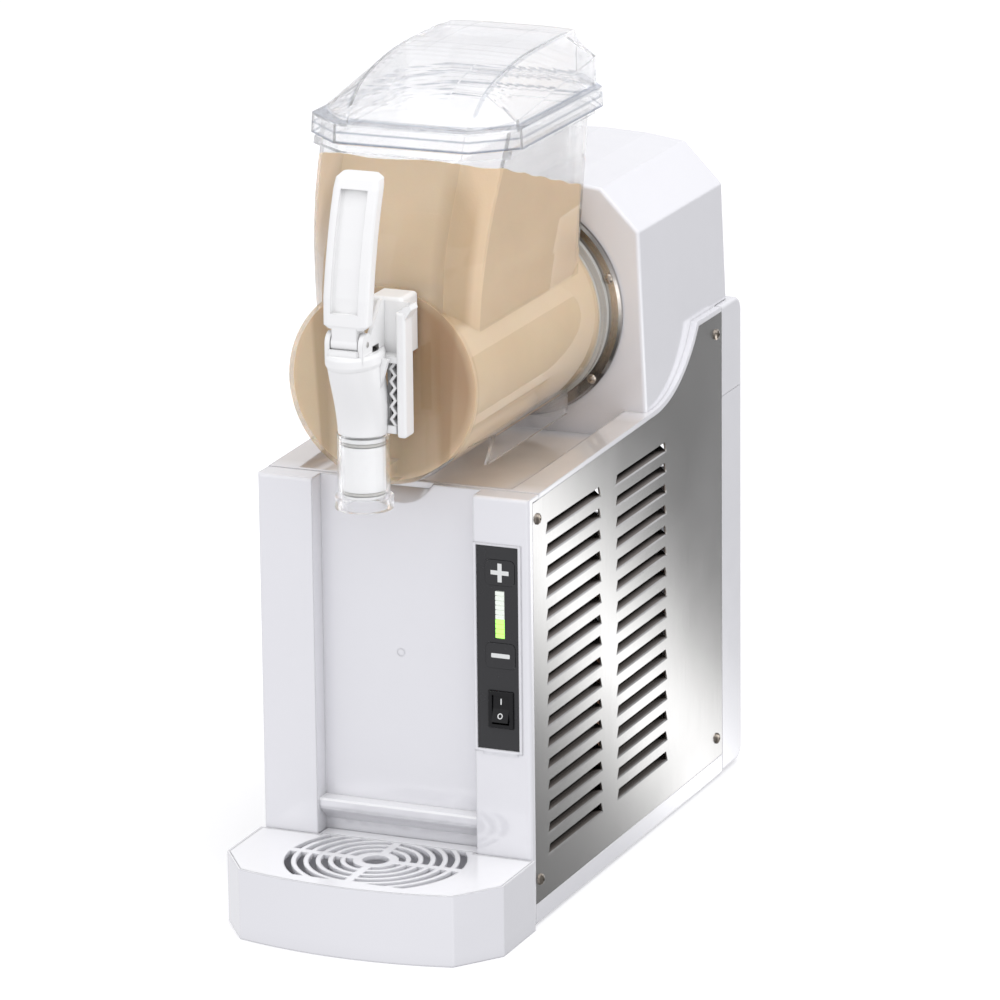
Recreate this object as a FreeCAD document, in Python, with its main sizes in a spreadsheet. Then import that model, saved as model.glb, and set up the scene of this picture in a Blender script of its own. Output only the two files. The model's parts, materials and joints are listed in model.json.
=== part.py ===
import FreeCAD, Part
import math
import os
import Sketcher
from FreeCAD import Placement, Rotation, Vector

# Countertop slush machine, about two litres.  The machine stands on four rubber feet.
# Frame: +Z up, -Y is the serving side, X = 0 is the plane of symmetry of the casing.
# The origin is the middle of the machine's footprint, on the surface it stands on.

doc = FreeCAD.newDocument("slush_machine")
sheet = doc.addObject("Spreadsheet::Sheet", "Sizes")

DRIVING_SIZES = {
    # casing
    "body_width": 165.0, "body_depth": 331.0, "tray_reach": 81.0, "tray_width": 169.0,
    "foot_height": 2.0, "foot_radius": 9.0, "wall": 3.0, "clearance": 0.3,
    "base_top": 13.3, "cover_seam": 298.0, "rear_seam_height": 236.0,
    "deck_front_height": 250.9, "deck_rise": 3.5, "deck_flat_end": 190.0,
    "notch_height": 290.9, "notch_start": 259.0, "curve_radius": 83.5,
    "recess_half": 49.0, "recess_depth": 12.0, "front_depth": 15.2,
    # steel side panels
    "sheet_metal": 1.2, "panel_front": 5.8, "panel_rear": 297.7, "panel_margin": 3.0,
    "slot_pitch": 12.57, "slot_count": 16.0, "slot_rise": 7.0, "slot_first": 36.1,
    "front_slots": 26.8, "front_slots_end": 103.8, "rear_slots": 131.0, "rear_slots_end": 205.5,
    # hood
    "hood_front": 184.0, "hood_rear": 318.0, "hood_low_half": 79.4, "hood_mid_half": 75.2,
    "hood_top_half": 52.0, "hood_low": 257.0, "hood_mid": 361.0, "hood_top": 385.0,
    "hood_crown": 4.5,
    # bowl
    "axis_height": 312.3, "bowl_radius": 57.0, "bowl_wall": 3.0, "bowl_front": -9.5,
    "bowl_rear": 175.7, "bowl_bead": 1.7, "hopper_top": 448.6, "hopper_half": 56.5,
    "hopper_face_half": 36.0,
    # lid
    "lid_low": 439.5, "lid_seat": 449.0, "lid_flange": 451.0, "lid_top": 479.0, "lid_crown": 1.0,
    # freezing drum and auger
    "drum_radius": 40.0, "drum_front": 12.0, "shaft_radius": 5.0, "shaft_fit": 0.05,
    "auger_inner": 41.2, "auger_outer": 52.6, "auger_pitch": 52.0, "auger_blade": 4.5,
    "flange_radius": 65.5, "flange_screws": 61.5,
    # tap
    "tap_line": -37.0, "spout_low": 249.5, "spout_top": 292.0, "spout_radius": 14.6,
    "spout_bore": 12.5, "spout_collar": 16.4, "plunger_radius": 12.35, "plunger_low": 256.0,
    "pivot_line": -55.0, "pivot_height": 347.0, "lever_arm": 18.0, "lever_rest": 22.5,
    "pin_radius": 1.5, "spring_shift": 2.5, "handle_half": 13.5, "handle_thick": 12.0, "handle_top": 438.0,
    # drip tray and grid
    "tray_height": 41.5, "tray_side": -46.0, "tray_corner_half": 65.0, "tray_corner": -72.5,
    "grid_line": -30.0, "grid_plate": 2.6, "grid_rear": 1.9, "ring_outer": 51.5, "ring_pitch": 6.9,
    "ring_slot": 4.0, "ring_count": 6.0, "grid_hole": 7.4, "spoke_half": 2.6,
    # controls
    "panel_left": 51.0, "panel_right": 75.8, "panel_low": 105.0, "panel_high": 223.0,
    "switch_x": 65.0, "switch_z": 128.4, "switch_half_x": 7.8, "switch_half_z": 11.0,
    "plus_z": 208.0, "minus_z": 159.8, "key_half_x": 9.0, "key_half_z": 7.5,
    "led_x": 64.7, "led_low": 170.0, "led_pitch": 2.75, "led_count": 10.0, "led_lit": 4.0,
    "rocker_tilt": 12.0,
    # machinery
    "fan_radius": 52.0, "fan_z": 92.0, "fan_y": 246.0, "compressor_radius": 48.0,
    "inlet_x": 44.0, "inlet_z": 34.0,
}


class Size:
    """A number together with the spreadsheet expression that it comes from."""

    def __init__(self, value, text):
        self.value = value
        self.text = text

    def join(self, other, sign, value):
        return Size(value, "({} {} {})".format(self.text, sign, other.text))

    def __add__(self, other):
        other = size(other)
        return self.join(other, "+", self.value + other.value)

    def __sub__(self, other):
        other = size(other)
        return self.join(other, "-", self.value - other.value)

    def __mul__(self, other):
        other = size(other)
        return self.join(other, "*", self.value * other.value)

    def __truediv__(self, other):
        other = size(other)
        return self.join(other, "/", self.value / other.value)

    def __radd__(self, other):
        return size(other) + self

    def __rsub__(self, other):
        return size(other) - self

    def __rmul__(self, other):
        return size(other) * self

    def __neg__(self):
        return size(0) - self


def size(number):
    """The number as a Size; a plain number is its own expression."""
    if isinstance(number, Size):
        return number
    return Size(float(number), "({:.6g})".format(float(number)))


class Cells:
    """The driving sizes by name."""


s = Cells()
for row, (alias, number) in enumerate(DRIVING_SIZES.items(), start=1):
    sheet.set("A{}".format(row), alias)
    sheet.set("B{}".format(row), repr(number))
    sheet.setAlias("B{}".format(row), alias)
    setattr(s, alias, Size(number, "Sizes." + alias))
doc.recompute()

half = s.body_width / 2
front_line = s.tray_reach - (s.body_depth + s.tray_reach) / 2
slots_in_column = int(s.slot_count.value)


def back(distance):
    """The Y of a point so far behind the casing's front face."""
    return front_line + distance


def at(x, y, z):
    """A plain vector from three sizes."""
    return Vector(size(x).value, size(y).value, size(z).value)


# ---------------------------------------------------------------- building helpers

nodes = []


def node(label, obj):
    """Names a finished sub-part."""
    obj.Label = label
    nodes.append(obj)
    return obj


def place(obj, x, y, z):
    for name, value in (("x", x), ("y", y), ("z", z)):
        obj.setExpression(".Placement.Base." + name, size(value).text)


def box(name, xs, ys, zs):
    """A block between two X, two Y and two Z sizes."""
    obj = doc.addObject("Part::Box", name)
    for prop, (low, high) in (("Length", xs), ("Width", ys), ("Height", zs)):
        obj.setExpression(prop, (size(high) - low).text)
    place(obj, xs[0], ys[0], zs[0])
    return obj


TURNS = {
    "x": Rotation(Vector(0, 1, 0), 90),
    "y": Rotation(Vector(1, 0, 0), -90),
    "z": Rotation(),
}


def rod(name, radius, start, length, axis="z"):
    """A cylinder along an axis, starting at a point."""
    obj = doc.addObject("Part::Cylinder", name)
    obj.Placement = Placement(Vector(), TURNS[axis])
    obj.setExpression("Radius", size(radius).text)
    obj.setExpression("Height", size(length).text)
    place(obj, *start)
    return obj


def torus(name, ring_radius, wire_radius, centre, axis="z"):
    obj = doc.addObject("Part::Torus", name)
    obj.Placement = Placement(Vector(), TURNS[axis])
    obj.setExpression("Radius1", size(ring_radius).text)
    obj.setExpression("Radius2", size(wire_radius).text)
    place(obj, *centre)
    return obj


def fuse(name, parts):
    obj = doc.addObject("Part::MultiFuse", name)
    obj.Shapes = parts
    obj.Refine = True
    return obj


def group(name, parts):
    """Separate equal solids that share one node."""
    obj = doc.addObject("Part::Compound", name)
    obj.Links = parts
    return obj


def cut(name, base, tools):
    obj = doc.addObject("Part::Cut", name)
    obj.Base = base
    obj.Tool = tools[0] if len(tools) == 1 else fuse(name + "_tools", tools)
    obj.Refine = True
    return obj


def common(name, first, second):
    obj = doc.addObject("Part::MultiCommon", name)
    obj.Shapes = [first, second]
    return obj


def rounded(name, base, radius, wanted):
    """Fillets the edges whose middle point passes the test."""
    doc.recompute()
    obj = doc.addObject("Part::Fillet", name)
    obj.Base = base
    number = size(radius).value
    picks = []
    for index, edge in enumerate(base.Shape.Edges, start=1):
        middle = edge.valueAt((edge.FirstParameter + edge.LastParameter) / 2)
        if wanted(edge, middle):
            picks.append((index, number, number))
    obj.Edges = picks
    return obj


def runs_along(edge, axis):
    """True for a straight edge parallel to an axis."""
    if edge.Curve.TypeId != "Part::GeomLine":
        return False
    return abs(abs(edge.Curve.Direction.dot(axis)) - 1) < 1e-6


def part_feature(name, shape, placement=Placement()):
    obj = doc.addObject("Part::Feature", name)
    obj.Shape = shape
    obj.Placement = placement
    return obj


PLANE_AXES = {"XY_Plane": "xy", "XZ_Plane": "xz", "YZ_Plane": "yz"}


def outline(body, plane, points, radii=None):
    """A closed sketch whose corners are bound to sizes; radii maps a side's index to an arc radius.

    A positive radius bulges to the right of the side's direction, a negative one to the left.
    """
    radii = radii or {}
    sketch = body.newObject("Sketcher::SketchObject", body.Name + "_sketch")
    origin_plane = [o for o in body.Origin.OriginFeatures if o.Role == plane][0]
    sketch.AttachmentSupport = [(origin_plane, "")]
    sketch.MapMode = "FlatFace"
    corners = [(size(u), size(v)) for u, v in points]
    count = len(corners)
    ends = []
    for side, corner in enumerate(corners):
        start = Vector(corner[0].value, corner[1].value, 0)
        following = corners[(side + 1) % count]
        stop = Vector(following[0].value, following[1].value, 0)
        if side in radii:
            radius = size(radii[side])
            chord = stop - start
            right = Vector(chord.y, -chord.x, 0).normalize()
            sign = 1 if radius.value > 0 else -1
            rise = abs(radius.value) - math.sqrt(radius.value ** 2 - (chord.Length / 2) ** 2)
            middle = (start + stop) / 2 + right * (sign * rise)
            arc = Part.Arc(start, middle, stop)
            sketch.addGeometry(arc)
            forward = (sketch.Geometry[side].StartPoint - start).Length < 1e-6
            ends.append((1, 2) if forward else (2, 1))
        else:
            sketch.addGeometry(Part.LineSegment(start, stop))
            ends.append((1, 2))
    for side in range(count):
        following = (side + 1) % count
        link = Sketcher.Constraint("Coincident", side, ends[side][1], following, ends[following][0])
        sketch.addConstraint(link)
    for side, corner in enumerate(corners):
        for kind, value, axis in (("DistanceX", corner[0], -2), ("DistanceY", corner[1], -1)):
            if abs(value.value) < 1e-9:
                sketch.addConstraint(Sketcher.Constraint("PointOnObject", side, ends[side][0], axis))
                continue
            number = sketch.addConstraint(
                Sketcher.Constraint(kind, -1, 1, side, ends[side][0], value.value))
            sketch.setExpression("Constraints[{}]".format(number), value.text)
    for side, radius in radii.items():
        radius = size(radius)
        bound = radius if radius.value > 0 else -radius
        number = sketch.addConstraint(Sketcher.Constraint("Radius", side, bound.value))
        sketch.setExpression("Constraints[{}]".format(number), bound.text)
    return sketch


def prism(name, plane, points, start, stop, radii=None):
    """A body padded from an outline between two sizes along the plane's normal axis."""
    body = doc.addObject("PartDesign::Body", name)
    sketch = outline(body, plane, points, radii)
    pad = body.newObject("PartDesign::Pad", name + "_pad")
    pad.Profile = sketch
    pad.setExpression("Length", (size(stop) - start).text)
    # The sketch normal is -Y on the XZ plane, so that pad starts at the far end.
    if plane == "XZ_Plane":
        sketch.setExpression(".AttachmentOffset.Base.z", (-size(stop)).text)
    else:
        sketch.setExpression(".AttachmentOffset.Base.z", size(start).text)
    return body


def turned(name, points, centre, axis="z"):
    """A body turned from (radius, height) points about an axis through a centre."""
    body = doc.addObject("PartDesign::Body", name)
    sketch = outline(body, "XZ_Plane", points)
    revolution = body.newObject("PartDesign::Revolution", name + "_turn")
    revolution.Profile = sketch
    revolution.ReferenceAxis = (sketch, ["V_Axis"])
    revolution.Angle = 360
    body.Placement = Placement(Vector(), TURNS[axis])
    place(body, *centre)
    return body


def ring(name, inner, outer, centre, length, axis="y"):
    """A plain ring along an axis."""
    return turned(name, [(inner, 0), (outer, 0), (outer, length), (inner, length)], centre, axis)


def loft(sections):
    """A ruled solid through closed polygons with equal numbers of corners."""
    wires = [Part.makePolygon(points + [points[0]]) for points in sections]
    return Part.makeLoft(wires, True, True)


def oval(half_x, half_y, centre_y, z):
    """An ellipse wire in a level plane."""
    long_x = half_x >= half_y
    major, minor = (half_x, half_y) if long_x else (half_y, half_x)
    ellipse = Part.Ellipse(Vector(0, 0, 0), major, minor)
    wire = Part.Wire([ellipse.toShape()])
    turn = Rotation() if long_x else Rotation(Vector(0, 0, 1), 90)
    wire.Placement = Placement(Vector(0, centre_y, z), turn)
    return wire


# ---------------------------------------------------------------- base and frame


def make_base_pan():
    outer = box("pan_outer", (-half, half), (back(s.panel_front), back(s.cover_seam)),
                (s.foot_height, s.base_top))
    notch = box("pan_notch", (-half + 2.7, half - 2.7), (back(0), back(s.front_depth + 0.4)),
                (0, s.base_top + 1))
    hollow = box("pan_hollow", (-half + s.wall, half - s.wall),
                 (back(s.front_depth + 3), back(s.cover_seam - s.wall)),
                 (s.foot_height + 2.5, s.base_top + 1))
    node("base_pan", cut("base_pan", outer, [notch, hollow]))


def foot_centres():
    for x in (-half + 20, half - 20):
        for y in (back(30), back(s.cover_seam - 26)):
            yield x, y


def make_feet():
    feet = []
    for index, (x, y) in enumerate(foot_centres()):
        profile = [(0, 0), (s.foot_radius - 1, 0), (s.foot_radius, s.foot_height),
                   (0, s.foot_height)]
        feet.append(turned("foot_{}".format(index), profile, (x, y, 0)))
    node("rubber_feet", group("rubber_feet", feet))


def make_chassis():
    plate = box("plate_flat", (-half + 4, half - 4), (back(22), back(s.cover_seam - 6)),
                (s.base_top + 0.2, s.base_top + 1.7))
    vents = []
    for row in range(6):
        y = back(205 + 7 * size(row))
        vents.append(box("plate_vent_{}".format(row), (-30, 30), (y, y + 3.5), (10, 20)))
    node("chassis_plate", cut("chassis_plate", plate, vents))


def make_bulkhead():
    low = s.base_top + 1.7
    sheet_flat = box("bulkhead_flat", (-half + 12, half - 12),
                     (back(s.hood_front + 3.4), back(s.hood_front + 5.4)), (low, s.hood_mid - 8))
    window = box("bulkhead_window", (-half + 16, half - 16), (back(180), back(200)),
                 (low + 12, s.axis_height - 72))
    hole = rod("bulkhead_hole", s.shaft_radius + 3, (0, back(180), s.axis_height), 20, "y")
    node("bulkhead", cut("bulkhead", sheet_flat, [window, hole]))


# ---------------------------------------------------------------- casing


def make_front_cover():
    wall = s.wall
    top = s.deck_front_height
    deep = s.front_depth
    block = box("front_block", (-half, half), (back(0), back(deep)), (s.foot_height, top))
    block_round = rounded("front_round", block, 2.0, lambda edge, middle:
                          middle.y < back(0).value + 0.1 and middle.z > 20)
    tools = [box("front_recess", (-s.recess_half, s.recess_half),
                 (back(-5), back(s.recess_depth)), (s.foot_height - 1, top + 1))]
    for side in (-1, 1):
        xs = sorted((side * (s.recess_half + wall), side * (half - wall)), key=lambda v: v.value)
        tools.append(box("front_hollow", tuple(xs), (back(wall), back(deep + 1)),
                         (s.foot_height + wall, top - wall)))
        xs = sorted((side * (half - wall), side * (half + 1)), key=lambda v: v.value)
        tools.append(box("front_step", tuple(xs), (back(s.panel_front - 0.2), back(deep + 1)),
                         (0, top - wall + 0.5)))
    shell = cut("front_shell", block_round, tools)
    pieces = [shell]
    # side flanges behind the steel panels
    for side in (-1, 1):
        xs = sorted((side * (half - 4.4), side * (half - 1.5)), key=lambda v: v.value)
        pieces.append(box("front_flange", tuple(xs), (back(2), back(deep)),
                          (s.base_top + 2, top - 1)))
    # block behind the recess wall that carries the scoop under the spout
    pieces.append(box("scoop_block", (-28, 28), (back(s.recess_depth + 1), back(26)), (233, 247.2)))
    # ledge across the bottom of the recess
    reach = s.recess_half + 0.5
    rear = back(s.recess_depth + 1)
    pieces.append(prism("front_ledge", "YZ_Plane",
                        [(rear, 47), (back(3.4), 55.6), (back(2.4), 57.5), (back(2.4), 61),
                         (back(3.4), 62), (rear, 62)], -reach, reach))
    # raised frame around the control panel
    pieces.append(box("front_frame", (s.recess_half, s.panel_right + 1.9), (back(-1), back(2)),
                      (s.panel_low - 1.8, s.panel_high + 1.4)))
    pieces.append(prism("front_frame_lip", "YZ_Plane",
                        [(back(1), s.panel_low - 1.8), (back(-1), s.panel_low - 1.8),
                         (back(1), s.panel_low - 6)],
                        s.panel_left + 3, s.panel_right - 1))
    body = fuse("front_body", pieces)
    # pocket for the fascia, the openings in it, the scoop and the small moulding mark
    gap = 0.25
    openings = [
        box("fascia_pocket", (s.panel_left - gap, s.panel_right + gap), (back(-3), back(1)),
            (s.panel_low - gap, s.panel_high + gap)),
        box("switch_hole", (s.switch_x - 6.6, s.switch_x + 6.6), (back(-3), back(6)),
            (s.switch_z - 9.8, s.switch_z + 9.8)),
        box("display_hole", (s.led_x - 4, s.led_x + 4), (back(-3), back(6)),
            (s.led_low - 3, s.led_low + s.led_pitch * s.led_count + 2)),
    ]
    for z in (s.plus_z, s.minus_z):
        openings.append(rod("key_hole", 4, (s.switch_x, back(-3), z), 8, "y"))
    openings.append(ring("mould_mark", 1.9, 2.4, (-1, back(s.recess_depth - 1), 151), 1.3))
    scoop = rod("scoop", 25, (0, 0, 0), 80, "y")
    tilt = 33.0
    scoop.Placement = Placement(Vector(), Rotation(Vector(1, 0, 0), tilt - 90))
    drop = 25 / math.cos(math.radians(tilt))
    place(scoop, 0, back(s.recess_depth - 30), 238.5 + drop - 30 * math.tan(math.radians(tilt)))
    openings.append(scoop)
    node("front_cover", cut("front_cover", body, openings))


def deck_contour(drop, rear_limit):
    """The side contour of deck and ledge, lowered by a drop, as points and arc side."""
    low_front = s.deck_front_height - drop
    low_flat = s.deck_front_height + s.deck_rise - drop
    centre_z = s.deck_front_height + s.deck_rise + s.curve_radius
    radius = s.curve_radius + drop
    depth = centre_z.value - (s.notch_height.value - drop.value)
    notch_y = s.deck_flat_end.value + math.sqrt(radius.value ** 2 - depth ** 2)
    points = [(back(0), low_front), (back(s.deck_flat_end), low_flat),
              (back(notch_y), s.notch_height - drop), (back(rear_limit), s.notch_height - drop)]
    return points, radius


def contour_prism(name, drop, floor_z, xs, front_limit, rear_limit):
    """Everything between a level floor and the side contour, across a width."""
    points, radius = deck_contour(size(drop), rear_limit)
    points[0] = (back(front_limit), points[0][1])
    corners = [(back(front_limit), floor_z)] + points + [(back(rear_limit), floor_z)]
    return prism(name, "YZ_Plane", corners, xs[0], xs[1], {2: radius})


def hood_section(y, inset, low_z):
    """The hood's outline across the machine at one Y, set in by a wall."""
    low_half = s.hood_low_half.value - inset
    slope = (s.hood_low_half.value - s.hood_mid_half.value) / (s.hood_mid.value - s.hood_low.value)
    base_half = low_half + slope * (s.hood_low.value - low_z)
    mid_half = s.hood_mid_half.value - inset
    mid_z = s.hood_mid.value - 0.4 * inset
    top_half = s.hood_top_half.value - 0.55 * inset
    top_z = s.hood_top.value - inset
    crown = top_z + s.hood_crown.value
    right = [(base_half, low_z), (mid_half, mid_z), (top_half, top_z),
             (0.55 * top_half, top_z + 0.7 * s.hood_crown.value)]
    points = [Vector(x, y, z) for x, z in right]
    points.append(Vector(0, y, crown))
    points.extend(Vector(-x, y, z) for x, z in reversed(right))
    return points


def hood_solid(inset, low_z, front, rear):
    """The hood between two Y sizes; its front face is inset at the sides by nothing but draft."""
    sections = [hood_section(back(front).value, inset, low_z),
                hood_section(back(rear).value, inset, low_z)]
    return loft(sections)


def make_top_cover():
    wall = s.wall.value
    deck = contour_prism("deck_block", 0, s.deck_front_height - 17, (-half, half), 0,
                         s.cover_seam - s.clearance)
    hood = part_feature("hood_outer", hood_solid(0, 235.0, s.hood_front, s.hood_rear))
    hood_rounded = rounded("hood_round", hood, 2.2, lambda edge, middle: middle.z > 236)
    low_rear = box("hood_clear_rear", (-half - 5, half + 5),
                   (back(s.cover_seam - s.clearance), back(s.hood_rear + 5)),
                   (200, s.notch_height + 0.3))
    hood_cut = cut("hood_trimmed", hood_rounded, [low_rear])
    basin_block = box("basin_block", (-71, 71), (back(3), back(s.hood_front + wall)), (233, 249))
    outer = fuse("top_outer", [deck, hood_cut, basin_block])

    tools = [part_feature("hood_inner",
                          hood_solid(wall, 200.0, s.hood_front + wall, s.hood_rear - wall))]
    # drip basin under the bowl, falling towards the hood
    basin = prism("basin", "YZ_Plane",
                  [(back(18.5), 247), (back(s.hood_front - 0.01), 238.5),
                   (back(s.hood_front - 0.01), 262), (back(18.5), 262)], -66, 66)
    tools.append(rounded("basin_round", basin, 9.0, lambda edge, middle: middle.z < 250
                         and abs(abs(middle.x) - 66) < 0.1 and edge.Length > 50))
    # hollow below the deck
    inner_half = half - 4.4
    for side in (-1, 1):
        xs = sorted((size(side * 71), side * inner_half), key=lambda v: v.value)
        tools.append(contour_prism("deck_hollow_{}".format("left" if side < 0 else "right"),
                                   wall, 200, xs, wall, s.cover_seam + 1))
    tools.append(prism("basin_hollow", "YZ_Plane",
                       [(back(18.5), 200), (back(18.5), 244.2),
                        (back(s.hood_front + 10), 235.2), (back(s.hood_front + 10), 200)],
                       -71.5, 71.5))
    # room for the steel panels and the drum
    for side in (-1, 1):
        xs = sorted((side * (half - 1.4), side * (half + 1)), key=lambda v: v.value)
        tools.append(contour_prism("panel_pocket_{}".format("left" if side < 0 else "right"),
                                   s.panel_margin - 0.15, 190, xs, s.panel_front - 0.2,
                                   s.cover_seam + 1))
    tools.append(rod("drum_port", s.drum_radius + 1, (0, back(s.hood_front - 2), s.axis_height),
                     wall + 4, "y"))
    tools.append(box("front_relief", (-half - 1, half + 1), (back(-1), back(s.front_depth + 0.3)),
                     (200, 260)))
    tools.append(box("scoop_relief", (-28.3, 28.3), (back(10), back(26.3)), (200, 247.5)))
    node("top_cover", cut("top_cover", outer, tools))


def make_side_panel(label, side):
    """A louvred steel side panel; side is 1 on the right and -1 on the left."""
    body = doc.addObject("PartDesign::Body", label + "_body")
    points, radius = deck_contour(size(s.panel_margin), s.panel_rear)
    points[0] = (back(s.panel_front), points[0][1])
    low = s.base_top + 0.2
    corners = [(back(s.panel_front), low)] + points + [(back(s.panel_rear), low)]
    face = outline(body, "YZ_Plane", corners, {2: radius})
    start = half - s.sheet_metal if side > 0 else -half
    face.setExpression(".AttachmentOffset.Base.z", start.text)
    pad = body.newObject("PartDesign::Pad", label + "_sheet")
    pad.Profile = face
    pad.setExpression("Length", s.sheet_metal.text)
    previous = pad
    columns = ((s.front_slots, s.front_slots_end), (s.rear_slots, s.rear_slots_end))
    for number, (left, right) in enumerate(columns):
        opening = outline(body, "YZ_Plane",
                          [(back(left), s.slot_first + s.slot_rise),
                           (back(left - 3), s.slot_first),
                           (back(right + 3), s.slot_first),
                           (back(right), s.slot_first + s.slot_rise)])
        opening.setExpression(".AttachmentOffset.Base.z", (start - 1).text)
        pocket = body.newObject("PartDesign::Pocket", "{}_slot_{}".format(label, number))
        pocket.Profile = opening
        pocket.Reversed = True
        pocket.setExpression("Length", (s.sheet_metal + 2).text)
        doc.recompute()
        column = body.newObject("PartDesign::LinearPattern", "{}_slots_{}".format(label, number))
        column.Originals = [pocket]
        column.Direction = (opening, ["V_Axis"])
        column.setExpression("Length", (s.slot_pitch * (s.slot_count - 1)).text)
        column.Occurrences = slots_in_column
        body.Tip = column
        previous = column
    body.Tip = previous
    doc.recompute()
    # blades rise inwards from the lower edge of each slot
    outer_x = side * half.value
    inner_x = side * (half.value - 7.0)
    skin = side * 1.3
    blades = []
    for left, right in columns:
        for row in range(slots_in_column):
            z = s.slot_first.value + row * s.slot_pitch.value
            section = [(outer_x, z - 0.9), (outer_x, z + 0.6), (inner_x, z + 6.3),
                       (inner_x, z + 5.1), (outer_x - skin, z - 0.9)]
            ends = []
            for y in (back(left - 3).value, back(right + 3).value):
                ends.append([Vector(x, y, height) for x, height in section])
            blades.append(loft(ends))
    blade_set = part_feature(label + "_blades", Part.makeCompound(blades))
    panel = fuse(label + "_panel", [body, blade_set])
    holes = []
    for index, (y, z) in enumerate(panel_screw_centres()):
        x = half - 3 if side > 0 else -half - 1
        holes.append(rod("{}_hole_{}".format(label, index), 1.7, (x, back(y), z), 4, "x"))
    node(label, cut(label, panel, holes))


def panel_screw_centres():
    return ((12.5, 237.5), (12.5, 26.5), (288.5, 26.0), (288.5, 276.2))


def pan_screw(name, seat, axis, outward, shank=1.1, head=3.3):
    """A pan head screw; its head points outward along the axis from the seat."""
    points = [(0, 0), (head, 0), (head, 0.7), (head - 0.8, 1.5), (head - 2.0, 1.9), (0, 1.9)]
    if shank:
        points = [(0, -shank), (1.5, -shank), (1.5, 0)] + points[1:]
    if outward < 0:
        points = [(radius, -height) for radius, height in reversed(points)]
    screw = turned(name, points, seat, axis)
    base = list(seat)
    along = "xyz".index(axis)
    base[along] = seat[along] + (1.0 if outward > 0 else -3.0)
    recess = rod(name + "_recess", 0.9, base, 2, axis)
    return cut(name + "_screw", screw, [recess])


def make_panel_screws():
    screws = []
    for side in (-1, 1):
        for index, (y, z) in enumerate(panel_screw_centres()):
            name = "panel_screw_{}_{}".format("left" if side < 0 else "right", index)
            screws.append(pan_screw(name, (side * half, back(y), z), "x", side))
    node("panel_screws", group("panel_screws", screws))


def make_rear_covers():
    wall = s.wall
    seam = s.cover_seam + 0.2
    low = box("rear_low_block", (-half, half), (back(seam), back(s.body_depth)),
              (s.foot_height, s.rear_seam_height - 0.15))
    low_round = rear_rounded("rear_low", low, lambda height: height < s.rear_seam_height.value - 5)
    tools = [box("rear_low_hollow", (-half + wall, half - wall),
                 (back(seam) - 1, back(s.body_depth - wall)),
                 (s.foot_height + wall, s.rear_seam_height + 1))]
    for row in range(12):
        z = size(70 + 11 * row)
        for side in (-1, 1):
            xs = (6, 62) if side > 0 else (-62, -6)
            tools.append(box("rear_vent", xs, (back(s.body_depth - wall - 2), back(350)),
                             (z, z + 4.5)))
    tools.append(box("inlet_hole", (s.inlet_x - 13.9, s.inlet_x + 13.9),
                     (back(s.body_depth - wall - 2), back(350)),
                     (s.inlet_z - 10.4, s.inlet_z + 10.4)))
    rear_shell(low_round, tools, "rear_cover", (20, 120, 225))

    high = box("rear_high_block", (-half, half), (back(seam), back(s.body_depth)),
               (s.rear_seam_height + 0.15, s.notch_height))
    high_round = rear_rounded("rear_high", high, lambda height: height > s.rear_seam_height.value + 5)
    tools = [box("rear_high_hollow", (-half + wall, half - wall),
                 (back(seam) - 1, back(s.body_depth - wall)),
                 (s.rear_seam_height - 1, s.notch_height - wall))]
    for row in range(3):
        z = size(247 + 11 * row)
        for side in (-1, 1):
            xs = (6, 62) if side > 0 else (-62, -6)
            tools.append(box("rear_high_vent", xs, (back(s.body_depth - wall - 2), back(350)),
                             (z, z + 4.5)))
    rear_shell(high_round, tools, "rear_top_cover", (250,))

    screws = []
    for x in (-half + 10, half - 10):
        for z in (20, 120, 225, 250):
            name = "rear_screw_{}".format(len(screws))
            screws.append(pan_screw(name, (x, back(s.body_depth - 2.2), z), "y", 1, shank=0.0))
    node("rear_screws", group("rear_screws", screws))


def rear_rounded(name, block, outer_end):
    """A rear block with a large radius on its level outer edge and a small one down its sides."""
    rear_y = back(s.body_depth).value
    level = rounded(name + "_level", block, 9.0, lambda edge, middle:
                    runs_along(edge, Vector(1, 0, 0)) and middle.y > rear_y - 0.1
                    and outer_end(middle.z))
    return rounded(name + "_sides", level, 2.2, lambda edge, middle:
                   runs_along(edge, Vector(0, 0, 1)) and middle.y > rear_y - 0.1)


def rear_shell(block, tools, label, screw_heights):
    """A rear cover: its hollow block with bosses behind counterbored screw seats."""
    bosses = []
    seats = []
    for x in (-half + 10, half - 10):
        for z in screw_heights:
            bosses.append(rod("boss", 5.6, (x, back(s.body_depth - 8), z), 6, "y"))
            seats.append(rod("seat", 3.7, (x, back(s.body_depth - 2.2), z), 5, "y"))
    hollow = cut(label + "_hollow", block, tools)
    node(label, cut(label, fuse(label + "_bossed", [hollow] + bosses), seats))


# ---------------------------------------------------------------- controls


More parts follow.
